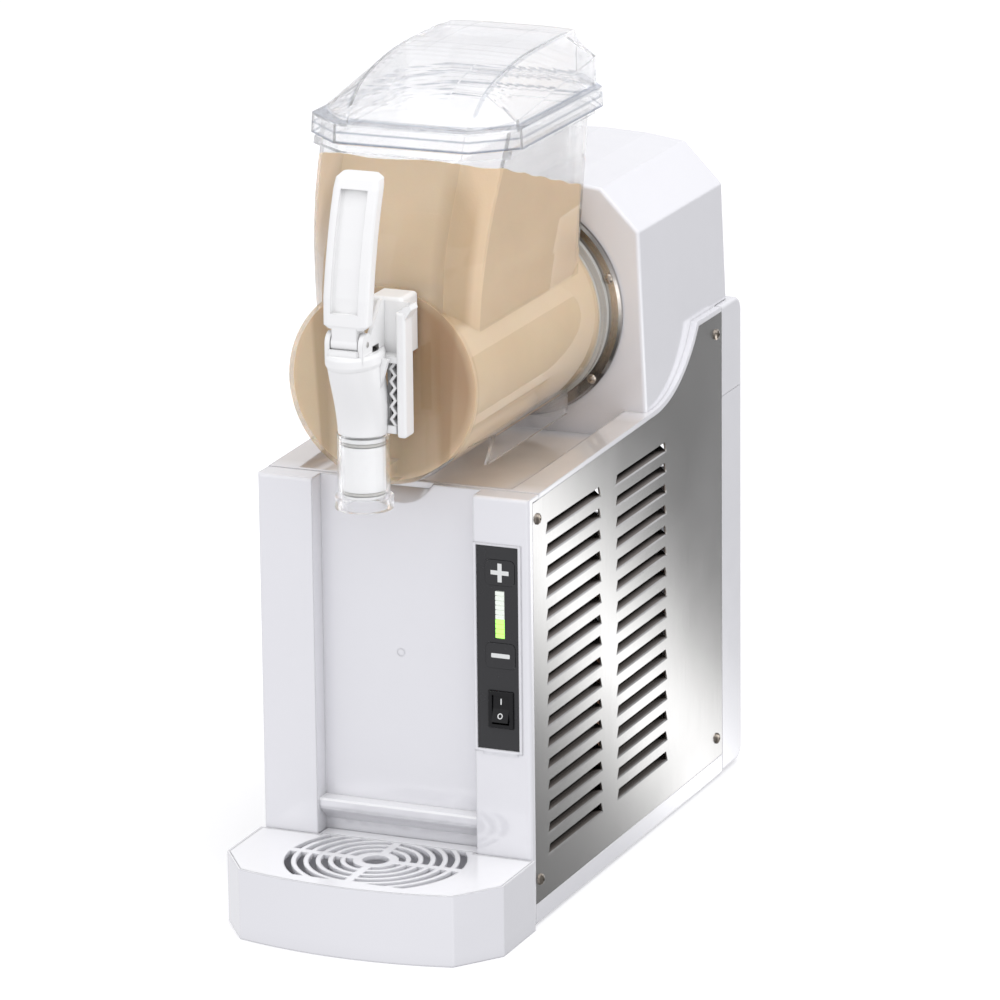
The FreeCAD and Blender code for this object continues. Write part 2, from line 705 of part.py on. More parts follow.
def make_controls():
    face = back(-0.4)
    plate = box("fascia_plate", (s.panel_left, s.panel_right), (face, back(0.95)),
                (s.panel_low, s.panel_high))
    gap = 0.2
    led_top = s.led_low + s.led_pitch * s.led_count
    tools = [
        box("fascia_switch", (s.switch_x - 6.7, s.switch_x + 6.7), (back(-2), back(2)),
            (s.switch_z - 9.9, s.switch_z + 9.9)),
        box("fascia_display", (s.led_x - 2.9, s.led_x + 2.9), (back(-2), back(2)),
            (s.led_low - 0.4, led_top + 0.1)),
    ]
    for name, z in (("plus", s.plus_z), ("minus", s.minus_z)):
        key = box(name + "_gap", (s.switch_x - s.key_half_x, s.switch_x + s.key_half_x),
                  (back(-2), back(2)), (z - s.key_half_z, z + s.key_half_z))
        tools.append(rounded(name + "_gap_round", key, 3.0,
                             lambda edge, middle: runs_along(edge, Vector(0, 1, 0))))
    node("control_fascia", cut("control_fascia", plate, tools))

    for name, z in (("plus_button", s.plus_z), ("minus_button", s.minus_z)):
        cap = box(name + "_cap",
                  (s.switch_x - s.key_half_x + gap, s.switch_x + s.key_half_x - gap),
                  (face - 0.3, back(0.3)),
                  (z - s.key_half_z + gap, z + s.key_half_z - gap))
        cap_round = rounded(name + "_cap_round", cap, 2.8,
                            lambda edge, middle: runs_along(edge, Vector(0, 1, 0)))
        stem = rod(name + "_stem", 3, (s.switch_x, back(0), z), 6, "y")
        node(name, fuse(name, [cap_round, stem]))

    lit = int(s.led_lit.value)
    segments = []
    for index in range(int(s.led_count.value)):
        low = s.led_low + s.led_pitch * index
        segments.append(box("led_{}".format(index), (s.led_x - 2.7, s.led_x + 2.7),
                            (face + 0.1, back(2.2)), (low, low + s.led_pitch - 0.45)))
    node("led_segments_lit", group("led_segments_lit", segments[:lit]))
    node("led_segments_off", group("led_segments_off", segments[lit:]))

    wide = s.switch_half_x
    tall = s.switch_half_z
    rim = box("bezel_rim", (s.switch_x - wide, s.switch_x + wide), (face - 1.3, face),
              (s.switch_z - tall, s.switch_z + tall))
    rim_round = rounded("bezel_rim_round", rim, 1.0, lambda edge, middle:
                        middle.y < face.value - 0.2)
    can = box("bezel_can", (s.switch_x - 6.4, s.switch_x + 6.4), (face, back(17)),
              (s.switch_z - 9.6, s.switch_z + 9.6))
    well = box("bezel_well", (s.switch_x - 5.2, s.switch_x + 5.2), (face - 3, back(11)),
               (s.switch_z - 8.5, s.switch_z + 8.5))
    socket = rod("bezel_socket", 1.75, (s.switch_x - 5.8, back(1.2), s.switch_z), 11.6, "x")
    node("switch_bezel", cut("switch_bezel", fuse("bezel_body", [rim_round, can]),
                             [well, socket]))

    # rocker about a cross axis, resting with its upper half pressed in
    rocker = doc.addObject("PartDesign::Body", "rocker_body")
    profile = outline(rocker, "YZ_Plane",
                      [(-3.2, -7.6), (-1.9, 0), (-3.2, 7.6), (-0.5, 7.8), (5, 3.5), (5, -3.5),
                       (-0.5, -7.8)])
    pad = rocker.newObject("PartDesign::Pad", "rocker_pad")
    pad.Profile = profile
    profile.setExpression(".AttachmentOffset.Base.z", "-4.9")
    pad.Length = 9.8
    rocker.Placement = Placement(Vector(), Rotation(Vector(1, 0, 0), -s.rocker_tilt.value))
    place(rocker, s.switch_x, back(1.2), s.switch_z)
    trunnions = rod("rocker_trunnions", 1.7, (s.switch_x - 5.6, back(1.2), s.switch_z), 11.2, "x")
    node("power_rocker", fuse("power_rocker", [rocker, trunnions]))


# ---------------------------------------------------------------- freezing drum and auger


def make_drum():
    r = s.drum_radius
    end = s.hood_front + 3.2 - s.drum_front
    tube = s.shaft_radius + 2.6
    profile = [(tube, 0), (r - 3, 0), (r, 3), (r, end), (r - 2, end), (r - 2, 4), (r - 4, 2),
               (tube + 2, 2), (tube + 2, end), (tube, end)]
    node("evaporator_drum",
         turned("drum_body", profile, (0, back(s.drum_front), s.axis_height), "y"))
    coils = []
    for turn in range(11):
        y = back(30 + 13.5 * turn)
        coils.append(torus("coil_{}".format(turn), 34, 3, (0, y, s.axis_height), "y"))
    coils.append(rod("coil_header", 2.2, (0, back(29), s.axis_height - 34), 137, "y"))
    node("evaporator_coil", fuse("evaporator_coil", coils))

    flange_y = back(s.hood_front - 3.6)
    profile = [(r + 0.3, 0), (r + 6, 0), (s.flange_radius - 1.5, 0), (s.flange_radius, 1.2),
               (s.flange_radius, 3.4), (r + 0.3, 3.4)]
    plate = turned("flange_plate", profile, (0, flange_y, s.axis_height), "y")
    node("drum_flange", plate)
    screws = []
    for index in range(6):
        angle = math.radians(60 * index + 20)
        x = s.flange_screws * math.cos(angle)
        z = s.axis_height + s.flange_screws * math.sin(angle)
        screws.append(pan_screw("flange_screw_{}".format(index), (x, flange_y, z), "y", -1,
                                shank=0.0, head=3.0))
    node("flange_screws", group("flange_screws", screws))

    inner = s.bowl_radius - s.bowl_wall - 0.3
    profile = [(inner - 3, 0), (inner, 0), (inner, 3.9), (s.bowl_radius + 1.4, 4.6),
               (s.bowl_radius + 1.4, 8), (inner - 3, 8)]
    node("bowl_gasket", turned("gasket_body", profile,
                               (0, back(s.hood_front - 11.8), s.axis_height), "y"))
    fit = s.shaft_radius + s.shaft_fit
    node("shaft_seal", ring("seal_body", fit, tube - 0.05,
                            (0, back(s.drum_front), s.axis_height), 7))
    node("shaft_bearing", ring("bearing_body", fit, tube - 0.05,
                               (0, back(s.hood_front - 8), s.axis_height), 11))


def make_auger():
    axis_point = (0, back(-2.2), s.axis_height)
    node("drive_shaft", rod("drive_shaft", s.shaft_radius, axis_point, 206, "y"))
    radius_in = s.auger_inner.value
    radius_out = s.auger_outer.value
    height = 150.0
    helix = Part.makeHelix(s.auger_pitch.value, height, (radius_in + radius_out) / 2)
    thick = s.auger_blade.value
    corners = [Vector(radius_in, 0, -thick / 2), Vector(radius_out, 0, -thick / 2),
               Vector(radius_out, 0, thick / 2), Vector(radius_in, 0, thick / 2)]
    section = Part.makePolygon(corners + [corners[0]])
    blade = Part.Wire(helix.Edges).makePipeShell([section], True, True)
    helix_blade = part_feature("auger_blade", blade,
                               Placement(at(0, back(12.5), s.axis_height), TURNS["y"]))
    hub = ring("auger_hub", s.shaft_radius + 0.05, 11, (0, back(0.5), s.axis_height), 10.5)
    pieces = [helix_blade, hub]
    for index in range(4):
        arm = box("auger_arm_{}".format(index), (9, s.auger_outer - 1.0), (0, 7), (-3.5, 3.5))
        arm.Placement = Placement(Vector(), Rotation(Vector(0, 1, 0), 90 * index))
        place(arm, 0, back(3), s.axis_height)
        pieces.append(arm_turned(arm, index))
    hoop = ring("auger_hoop", radius_in, radius_out, (0, back(4), s.axis_height), 9)
    pieces.append(hoop)
    node("auger", fuse("auger", pieces))
    nut = turned("nut_body", [(0, 0), (5, 0), (8, 2.4), (8, 3.3), (0, 3.3)],
                 (0, back(-5.6), s.axis_height), "y")
    node("auger_nut", nut)


def arm_turned(arm, index):
    """Moves a spoke's corner so that it turns about the machine's drum axis."""
    angle = math.radians(90 * index)
    # local offset (9, 0, -3.5) after a turn about Y
    x = 9 * math.cos(angle) - 3.5 * math.sin(angle)
    z = -9 * math.sin(angle) - 3.5 * math.cos(angle)
    place(arm, x, back(3), s.axis_height + z)
    return arm


# ---------------------------------------------------------------- bowl and lid


HOPPER_LEVELS = (
    # height, front face, front end of the side wall, half width of the side wall
    (341.0, -9.5, 12.0, 48.5),
    (362.0, -9.5, 13.0, 50.3),
    (380.0, -6.5, 15.5, 51.8),
    (395.0, 0.0, 19.0, 53.0),
    (410.0, 7.5, 24.0, 54.2),
    (425.0, 15.5, 31.0, 55.4),
    (448.6, 27.0, 42.0, 56.8),
)


def hopper_section(level, inset):
    """An eight-sided outline of the hopper at one level."""
    z, face, side_start, side_half = level
    face_half = s.hopper_face_half.value - 0.45 * inset
    side_half = side_half - inset
    rear_face = s.bowl_rear.value + (4.0 if z > 430 else 4.0 * max(0.0, (z - 380) / 50))
    rear_side = 156.0 - 0.45 * inset
    corners = [(face_half, face + inset), (side_half, side_start + 0.45 * inset),
               (side_half, rear_side), (face_half, rear_face - inset)]
    points = [Vector(x, back(y).value, z) for x, y in corners]
    points.extend(Vector(-x, back(y).value, z) for x, y in reversed(corners))
    return points


def hopper_solid(inset, top_extra, low_level):
    levels = list(HOPPER_LEVELS)
    levels[0] = (low_level,) + levels[0][1:]
    if top_extra:
        last = levels[-1]
        levels.append((last[0] + top_extra, last[1] + 0.3, last[2] + 0.3, last[3] + 0.1))
    return loft([hopper_section(level, inset) for level in levels])


def make_bowl():
    r = s.bowl_radius
    y0 = back(s.bowl_front)
    barrel = rod("barrel", r, (0, y0, s.axis_height), s.bowl_rear - s.bowl_front, "y")
    bead = ring("barrel_bead", r - 1, r + s.bowl_bead, (0, back(s.bowl_rear - 4.6), s.axis_height),
                4.6)
    hopper = part_feature("hopper_outer", hopper_solid(0, 0, 330.0))
    rim_wires = []
    for z in (435.0, 439.0):
        level = (z,) + interpolated_level(z)
        rim_wires.append(hopper_section(level, -3.5))
    rim = part_feature("hopper_rim", loft(rim_wires))
    tap_y = back(s.tap_line)
    tube = rod("spout_tube", s.spout_radius, (0, tap_y, s.spout_low), s.spout_top - s.spout_low)
    collar = rod("spout_collar", s.spout_collar, (0, tap_y, s.spout_low), 6.5)
    boss = box("spout_boss", (-11, 11), (tap_y, back(s.bowl_front + 1)), (260, 286))
    fins = []
    for x in (-36.3, 33.8):
        fins.append(prism("fin", "YZ_Plane",
                          [(back(52), 253.6), (back(170), 253.6), (back(170), 275),
                           (back(70), 275)], x, x + 2.5))
    outer = fuse("bowl_outer", [barrel, bead, hopper, rim, tube, collar, boss] + fins)
    inner_barrel = rod("barrel_bore", r - s.bowl_wall, (0, y0 + s.bowl_wall, s.axis_height), 220,
                       "y")
    inner_hopper = part_feature("hopper_inner", hopper_solid(s.bowl_wall.value, 5.0, 325.0))
    bore = rod("spout_bore", s.spout_bore, (0, tap_y, s.spout_low - 1), 60)
    port = box("spout_port", (-7, 7), (tap_y, back(s.bowl_front + 6)), (262, 270))
    node("bowl", cut("bowl", outer, [inner_barrel, inner_hopper, bore, port]))


def interpolated_level(z):
    """The hopper outline's measures at any height between two given levels."""
    for low, high in zip(HOPPER_LEVELS, HOPPER_LEVELS[1:]):
        if low[0] <= z <= high[0]:
            share = (z - low[0]) / (high[0] - low[0])
            return tuple(a + share * (b - a) for a, b in zip(low[1:], high[1:]))
    return HOPPER_LEVELS[-1][1:]


def lid_plan(margin, z):
    """The eight-sided rim outline, set out from the hopper by a margin."""
    corners = [(38.0 + 0.4 * margin, 25.5 - margin), (57.5 + margin, 44.0 - 0.4 * margin),
               (57.5 + margin, 156.5 + 0.4 * margin), (38.0 + 0.4 * margin, 181.5 + margin)]
    points = [Vector(x, back(y).value, z) for x, y in corners]
    points.extend(Vector(-x, back(y).value, z) for x, y in reversed(corners))
    return points


DOME_STATIONS = (
    # y, half width of the foot, shoulder height, half width of the top edge, top edge height
    (25.5, 38.0, 451.0, 36.5, 451.6),
    (36.0, 48.5, 452.0, 37.4, 459.5),
    (50.0, 58.2, 454.0, 38.0, 468.0),
    (75.0, 58.6, 457.5, 38.3, 474.5),
    (105.0, 58.8, 461.5, 38.5, 478.2),
    (150.0, 58.8, 466.5, 38.5, 479.0),
    (162.0, 58.6, 467.5, 38.5, 478.8),
    (180.5, 40.0, 471.0, 38.0, 477.8),
    (182.0, 39.0, 466.0, 37.0, 472.0),
)


def dome_in_between(index, share):
    """A station part of the way to the next one; the heights follow a smooth curve."""
    before, start, end, after = DOME_STATIONS[index - 1:index + 3]
    length = end[0] - start[0]
    values = []
    for column in range(5):
        straight = start[column] + share * (end[column] - start[column])
        if column < 2:
            values.append(straight)
            continue
        leaving = (end[column] - before[column]) / (end[0] - before[0]) * length
        arriving = (after[column] - start[column]) / (after[0] - start[0]) * length
        rise = end[column] - start[column]
        bend = share * (1 - share) * ((1 - share) * (leaving - rise) - share * (arriving - rise))
        values.append(straight + bend)
    return tuple(values)


def dome_stations():
    """The set stations, with more between those of the roof's long curve."""
    first, last = 1, 6
    steps = 4
    stations = list(DOME_STATIONS[:first])
    for index in range(first, last):
        stations.extend(dome_in_between(index, step / steps) for step in range(steps))
    stations.extend(DOME_STATIONS[last:])
    return stations


def dome_section(station, inset, foot_z):
    y, foot_half, shoulder_z, top_half, top_z = station
    crown = s.lid_crown.value
    right = [(foot_half - inset, foot_z), (foot_half - inset, max(shoulder_z - inset, foot_z + 0.1)),
             (top_half - 0.5 * inset, max(top_z - inset, foot_z + 0.2)),
             (0.5 * top_half, max(top_z - inset, foot_z + 0.2) + 0.8 * crown)]
    points = [Vector(x, back(y).value, z) for x, z in right]
    points.extend(Vector(-x, back(y).value, z) for x, z in reversed(right))
    return points


def dome_solid(inset, foot_z):
    stations = dome_stations()
    if inset:
        first = stations[0]
        last = stations[-1]
        stations[0] = (first[0] + 1.6 * inset,) + first[1:3] + (first[3], first[4] + 0.4 * inset)
        stations[-1] = (last[0] - inset,) + last[1:]
        stations[-2] = (last[0] - 1.3 * inset,) + stations[-2][1:]
    return loft([dome_section(station, inset, foot_z) for station in stations])


def make_lid():
    low = s.lid_low.value
    seat = s.lid_seat.value
    flange = s.lid_flange.value
    rim = part_feature("lid_rim_outer", loft([lid_plan(6.6, low), lid_plan(6.0, flange)]))
    rim_inner = part_feature("lid_rim_inner", loft([lid_plan(4.6, low - 1), lid_plan(4.2, seat)]))
    dome = part_feature("lid_dome_outer", dome_solid(0, flange - 1.0))
    dome_inner = part_feature("lid_dome_inner", dome_solid(2.0, seat - 1.0))
    outer = fuse("lid_outer", [rim, dome])
    node("lid", cut("lid", outer, [rim_inner, dome_inner]))


# ---------------------------------------------------------------- tap


def make_tap_body():
    y = back(s.tap_line).value
    outer_wires = [oval(14.0, 14.0, y, 292.3), oval(15.0, 16.0, y - 1.0, 308.0),
                   oval(14.6, 19.0, y - 5.5, 322.0), oval(14.4, 21.0, y - 9.0, 335.0)]
    inner_wires = [oval(12.7, 12.7, y, 291.0), oval(12.9, 13.8, y - 1.0, 308.0),
                   oval(12.0, 16.4, y - 5.5, 322.0), oval(11.8, 18.4, y - 9.0, 336.0)]
    bell = part_feature("bell_outer", Part.makeLoft(outer_wires, True, False))
    hollow = part_feature("bell_inner", Part.makeLoft(inner_wires, True, False))
    lip_wires = [oval(14.4, 21.0, y - 9.0, 333.0), oval(15.4, 22.0, y - 9.0, 335.0),
                 oval(15.4, 22.0, y - 9.0, 339.0), oval(14.4, 21.0, y - 9.0, 341.0)]
    lip = part_feature("bell_lip", Part.makeLoft(lip_wires, True, True))
    bore = rod("bell_bore", 12.7, (0, y, 291), 16)
    lip_hole = rod("bell_lip_hole", 11.6, (0, y - 6.0, 330), 14)
    pivot_y = back(s.pivot_line)
    cheeks = []
    for low in (8.4, -11.4):
        cheeks.append(rod("cheek_round", 6.3, (low, pivot_y, s.pivot_height), 3, "x"))
        cheeks.append(box("cheek_leg", (low, low + 3), (pivot_y - 6.3, pivot_y + 6.3),
                          (337, s.pivot_height)))
    # front wall between the cheeks, low enough for the lever's neck to swing over it
    cheeks.append(box("cheek_apron", (-8.6, 8.6), (pivot_y - 8.0, pivot_y - 6.4), (336, 344.4)))
    # wall from the right cheek back to the bracket
    wing = prism("wing", "YZ_Plane", [(pivot_y + 4, 335), (y + 7, 335), (y + 7, 367),
                                      (y + 3, 367), (pivot_y + 5, 350)], 8.5, 10.9)
    # spring channel, rail and bracket on the right of the bell
    web = box("channel_back", (12.2, 25.5), (y + 6.4, y + 8.8), (292.4, 366))
    rail = box("rail", (21.0, 26.5), (y - 2.0, y + 8.8), (291, 362))
    rail_round = rounded("rail_round", rail, 1.6, lambda edge, middle: middle.y < y - 1.9
                         or middle.z < 291.1)
    hook = prism("rail_hook", "XZ_Plane", [(21.0, 358), (26.5, 358), (30.0, 363.5), (29.0, 366.5),
                                           (25.5, 365), (21.0, 361)], y - 1.0, y + 8.8)
    seat = box("spring_seat", (10.0, 21.5), (y - 1.6, y + 7), (333.2, 337.0))
    gusset = prism("gusset", "XZ_Plane", [(12.0, 337), (19.5, 337), (12.0, 312)], y - 8.4, y - 6.2)
    block = box("block_outer", (1.0, 21.5), (y + 6.4, back(s.bowl_front - 0.3)), (335, 368))
    block_round = rounded("block_round", block, 2.5, lambda edge, middle: middle.z > 367.9
                          or runs_along(edge, Vector(0, 0, 1)) and middle.y < y + 7)
    block_hollow = box("block_hollow", (4.0, 18.5), (y + 8.8, back(s.bowl_front + 1)), (332, 364))
    base = fuse("tap_solid", [bell, lip, web, rail_round, hook, seat, gusset, block_round, wing]
                + cheeks)
    channel_y = y + s.spring_shift.value
    lug_slot = box("lug_slot", (9, 20.8), (channel_y - 2.6, channel_y + 2.6), (288, 313.5))
    pin_hole = rod("pivot_hole", s.pin_radius + 0.02, (-20, pivot_y, s.pivot_height), 40, "x")
    arm_room = box("arm_room", (-8.4, 8.4), (pivot_y - 6.4, back(s.tap_line + 6.5)), (335, 343))
    keyhole = box("keyhole", (18.2, 19.6), (y + 5, y + 10), (343, 349))
    node("tap_body", cut("tap_body", base, [hollow, bore, lip_hole, block_hollow, lug_slot, pin_hole,
                                            arm_room, keyhole]))
    node("handle_pin", rod("handle_pin", s.pin_radius, (-11.8, pivot_y, s.pivot_height), 23.6, "x"))

    # moulded zigzag spring that closes the tap
    low = 297.4
    high = 333.0
    folds = 10
    rise = (high - low) / folds
    left = [Vector(15.8 if fold % 2 else 18.4, channel_y - 2.2, low + fold * rise)
            for fold in range(folds + 1)]
    right = [point + Vector(2.0, 0, 0) for point in reversed(left)]
    face = Part.Face(Part.makePolygon(left + right + [left[0]]))
    node("tap_spring", part_feature("tap_spring", face.extrude(Vector(0, 4.4, 0))))


def make_plunger():
    low = s.plunger_low
    y = back(s.tap_line)
    r = s.plunger_radius
    groove = r - 2.0
    profile = [(0, 0), (r - 1.2, 0), (r, 1.2), (r, 1.9), (groove, 1.9), (groove, 4.3), (r, 4.3),
               (r, 29.8), (groove, 29.8), (groove, 32.2), (r, 32.2), (r, 34.5), (5, 36), (5, 88.5),
               (4, 89.5), (0, 89.5)]
    body = turned("plunger_turned", profile, (0, y, low))
    channel_y = y + s.spring_shift
    lug = box("plunger_lug", (0, 19.8), (channel_y - 2.1, channel_y + 2.1),
              (low + 36.6, low + 41.2))
    pin_z = s.pivot_height - (s.tap_line - s.pivot_line) * math.tan(math.radians(s.lever_rest.value))
    pin_hole = rod("stem_hole", s.pin_radius + 0.02, (-10, y, pin_z), 20, "x")
    node("tap_plunger", cut("tap_plunger", fuse("plunger_body", [body, lug]), [pin_hole]))
    node("plunger_pin", rod("plunger_pin", s.pin_radius, (-7.9, y, pin_z), 15.8, "x"))
    rings = []
    for index, height in enumerate((3.1, 31.0)):
        rings.append(torus("o_ring_{}".format(index), r - 0.95, 1.0, (0, y, low + height)))
    node("plunger_o_rings", group("plunger_o_rings", rings))


HANDLE_STATIONS = (
    # height, middle line, half width share, half thickness share
    (355.5, -55.2, 0.80, 0.82),
    (357.5, -55.0, 0.96, 1.0),
    (372.0, -53.6, 1.0, 1.0),
    (388.0, -50.6, 1.0, 1.0),
    (404.0, -46.6, 1.0, 1.0),
    (418.0, -42.3, 1.0, 1.0),
    (430.0, -37.8, 1.0, 1.0),
    (435.5, -35.5, 0.96, 0.96),
    (438.0, -34.4, 0.78, 0.62),
)


def handle_section(station, half_width, front, rear, bevel):
    z, middle, wide, thick = station
    y = back(middle).value
    w = half_width * wide
    near = y - front * thick
    far = y + rear * thick
    centres = ((w - bevel, far - bevel, 0), (bevel - w, far - bevel, 90),
               (bevel - w, near + bevel, 180), (w - bevel, near + bevel, 270))
    points = []
    for centre_x, centre_y, start in centres:
        for step in range(4):
            angle = math.radians(start + 30 * step)
            points.append(Vector(centre_x + bevel * math.cos(angle),
                                 centre_y + bevel * math.sin(angle), z))
    return points


def make_handle():
    half_thick = s.handle_thick.value / 2
    paddle = part_feature("paddle", loft([
        handle_section(station, s.handle_half.value, half_thick, half_thick, 3.2)
        for station in HANDLE_STATIONS]))
    pocket_stations = [(z, middle, 1.0, 1.0) for z, middle, wide, thick in HANDLE_STATIONS[1:7]]
    pocket_stations[0] = (364.0, -54.4, 1.0, 1.0)
    pocket = part_feature("paddle_pocket", loft([
        handle_section(station, 8.0, half_thick + 2, -2.4, 0.9) for station in pocket_stations]))
    pivot_y = back(s.pivot_line)
    hub = rod("lever_hub", 6.0, (-7.9, pivot_y, s.pivot_height), 15.8, "x")
    neck = box("lever_neck", (-7.4, 7.4), (pivot_y - 5.6, pivot_y + 5.2),
               (s.pivot_height, s.pivot_height + 10))
    arms = []
    tilt = s.lever_rest.value
    for low in (5.7, -7.7):
        arm = box("lever_arm_{}".format("right" if low > 0 else "left"), (0, 2), (0, 23.8), (0, 6.4))
        turn = Rotation(Vector(1, 0, 0), -tilt)
        corner = turn.multVec(Vector(0, 0, -3.2))
        arm.Placement = Placement(Vector(), turn)
        place(arm, low, pivot_y + corner.y, s.pivot_height + corner.z)
        arms.append(arm)
    solid = fuse("lever_solid", [paddle, hub, neck] + arms)
    between = box("arm_gap", (-5.7, 5.7), (pivot_y + 6.2, back(s.tap_line + 8)), (326, 352))
    tools = [pocket, between,
             rod("hub_hole", s.pin_radius + s.shaft_fit, (-20, pivot_y, s.pivot_height), 40, "x")]
    slot = box("arm_slot", (-10, 10), (s.lever_arm - 1.8, s.lever_arm + 3.3), (-1.75, 1.75))
    corner = turn.multVec(Vector(0, s.lever_arm.value - 1.8, -1.75))
    slot.Placement = Placement(Vector(), turn)
    place(slot, -10, pivot_y + corner.y, s.pivot_height + corner.z)
    tools.append(slot)
    node("tap_handle", cut("tap_handle", solid, tools))


# ---------------------------------------------------------------- drip tray


def tray_outline(margin, rear_margin, tongue=None):
    """The tray's plan, set in by a margin; its front side is an arc."""
    wide = s.tray_width / 2 - margin
    inner = s.recess_half - 0.6 - margin
    corner_x = s.tray_corner_half - 0.4 * margin
    corner_y = s.tray_corner + margin
    side_y = s.tray_side + 0.3 * margin
    rear = back(-0.4 - rear_margin)
    deep = back(s.recess_depth - 0.5 - margin if tongue is None else tongue)
    front_rise = s.tray_reach + s.tray_corner
    arc_radius = (corner_x * corner_x + front_rise * front_rise) / (2 * front_rise)
    points = [(-wide, rear), (-wide, back(side_y)), (-corner_x, back(corner_y)),
              (corner_x, back(corner_y)), (wide, back(side_y)), (wide, rear),
              (inner, rear), (inner, deep), (-inner, deep), (-inner, rear)]
    return points, {2: arc_radius}


def make_drip_tray():
    low = size(0.2)
    points, arcs = tray_outline(size(0), size(0))
    outer = prism("tray_outer", "XY_Plane", points, low, s.tray_height, arcs)
    outer_round = rounded("tray_round", outer, 1.6, lambda edge, middle:
                          runs_along(edge, Vector(0, 0, 1)) and middle.y < back(-20).value)
    inner_points, inner_arcs = tray_outline(size(2.6), size(2.2))
    hollow = prism("tray_hollow", "XY_Plane", inner_points, low + 2.6, s.tray_height - 2.4,
                   inner_arcs)
    # the grid's seat stops in front of the ledge, so that the grid lifts straight out
    seat_points, seat_arcs = tray_outline(size(1.2), size(1.0), s.grid_rear + 0.3)
    seat = prism("tray_seat", "XY_Plane", seat_points, s.tray_height - s.grid_plate - 0.2,
                 s.tray_height + 1, seat_arcs)
    node("drip_tray", cut("drip_tray", outer_round, [hollow, seat]))


def make_drip_grid():
    points, arcs = tray_outline(size(1.5), size(1.3), s.grid_rear)
    plate = prism("grid_outer", "XY_Plane", points, s.tray_height - s.grid_plate, s.tray_height,
                  arcs)
    centre = (0, back(s.grid_line), s.tray_height - s.grid_plate - 1)
    rings = []
    for index in range(int(s.ring_count.value)):
        outer = s.ring_outer - s.ring_pitch * index
        rings.append(ring("grid_ring_{}".format(index), outer - s.ring_slot, outer, centre,
                          s.grid_plate + 2, "z"))
    ring_set = fuse("grid_rings", rings)
    window = box("grid_window", (-60, 60), (back(-69), back(s.grid_rear - 1.4)), (30, 50))
    spokes = [box("spoke_x", (-60, 60), (back(s.grid_line - s.spoke_half),
                                         back(s.grid_line + s.spoke_half)), (30, 50)),
              box("spoke_y", (-s.spoke_half, s.spoke_half), (back(-90), back(10)), (30, 50))]
    slots = cut("grid_slots", common("grid_rings_in_window", ring_set, window), spokes)
    hole = rod("grid_hole", s.grid_hole, centre, s.grid_plate + 2)
    node("drip_grid", cut("drip_grid", plate, [slots, hole]))


# ---------------------------------------------------------------- machinery


def pipe(name, points, bend, radius):
    """A round tube along straight runs joined by tangent arcs."""
    corners = [at(*point) for point in points]
    edges = []
    start = corners[0]
    for before, corner, after in zip(corners, corners[1:], corners[2:]):
        to_before = (before - corner).normalize()
        to_after = (after - corner).normalize()
        turn = math.pi - to_before.getAngle(to_after)
        reach = bend * math.tan(turn / 2)
        first = corner + to_before * reach
        last = corner + to_after * reach
        bisector = (to_before + to_after).normalize()
        centre = corner + bisector * (bend / math.cos(turn / 2))
        middle = centre - bisector * bend
        edges.append(Part.LineSegment(start, first).toShape())
        edges.append(Part.Arc(first, middle, last).toShape())
        start = last
    edges.append(Part.LineSegment(start, corners[-1]).toShape())
    path = Part.Wire(edges)
    direction = (corners[1] - corners[0]).normalize()
    circle = Part.Wire([Part.Circle(corners[0], direction, radius).toShape()])
    return part_feature(name, path.makePipeShell([circle], True, False))


def make_drive():
    y = s.hood_front + 5.8
    axis = s.axis_height
    housing = box("gearbox_block", (-34, 34), (back(y), back(y + 42)), (axis - 36, axis + 40))
    housing_round = rounded("gearbox_round", housing, 6.0,
                            lambda edge, middle: runs_along(edge, Vector(0, 1, 0)))
    bore = rod("gearbox_bore", s.shaft_radius + s.shaft_fit, (0, back(y - 1), axis), 16, "y")
    node("gearbox", cut("gearbox", housing_round, [bore]))
    profile = [(0, 0), (24, 0), (27, 2), (27, 56), (22, 62), (8, 62), (8, 66), (0, 66)]
    node("gear_motor", turned("motor_body", profile, (0, back(y + 42.2), axis + 6), "y"))


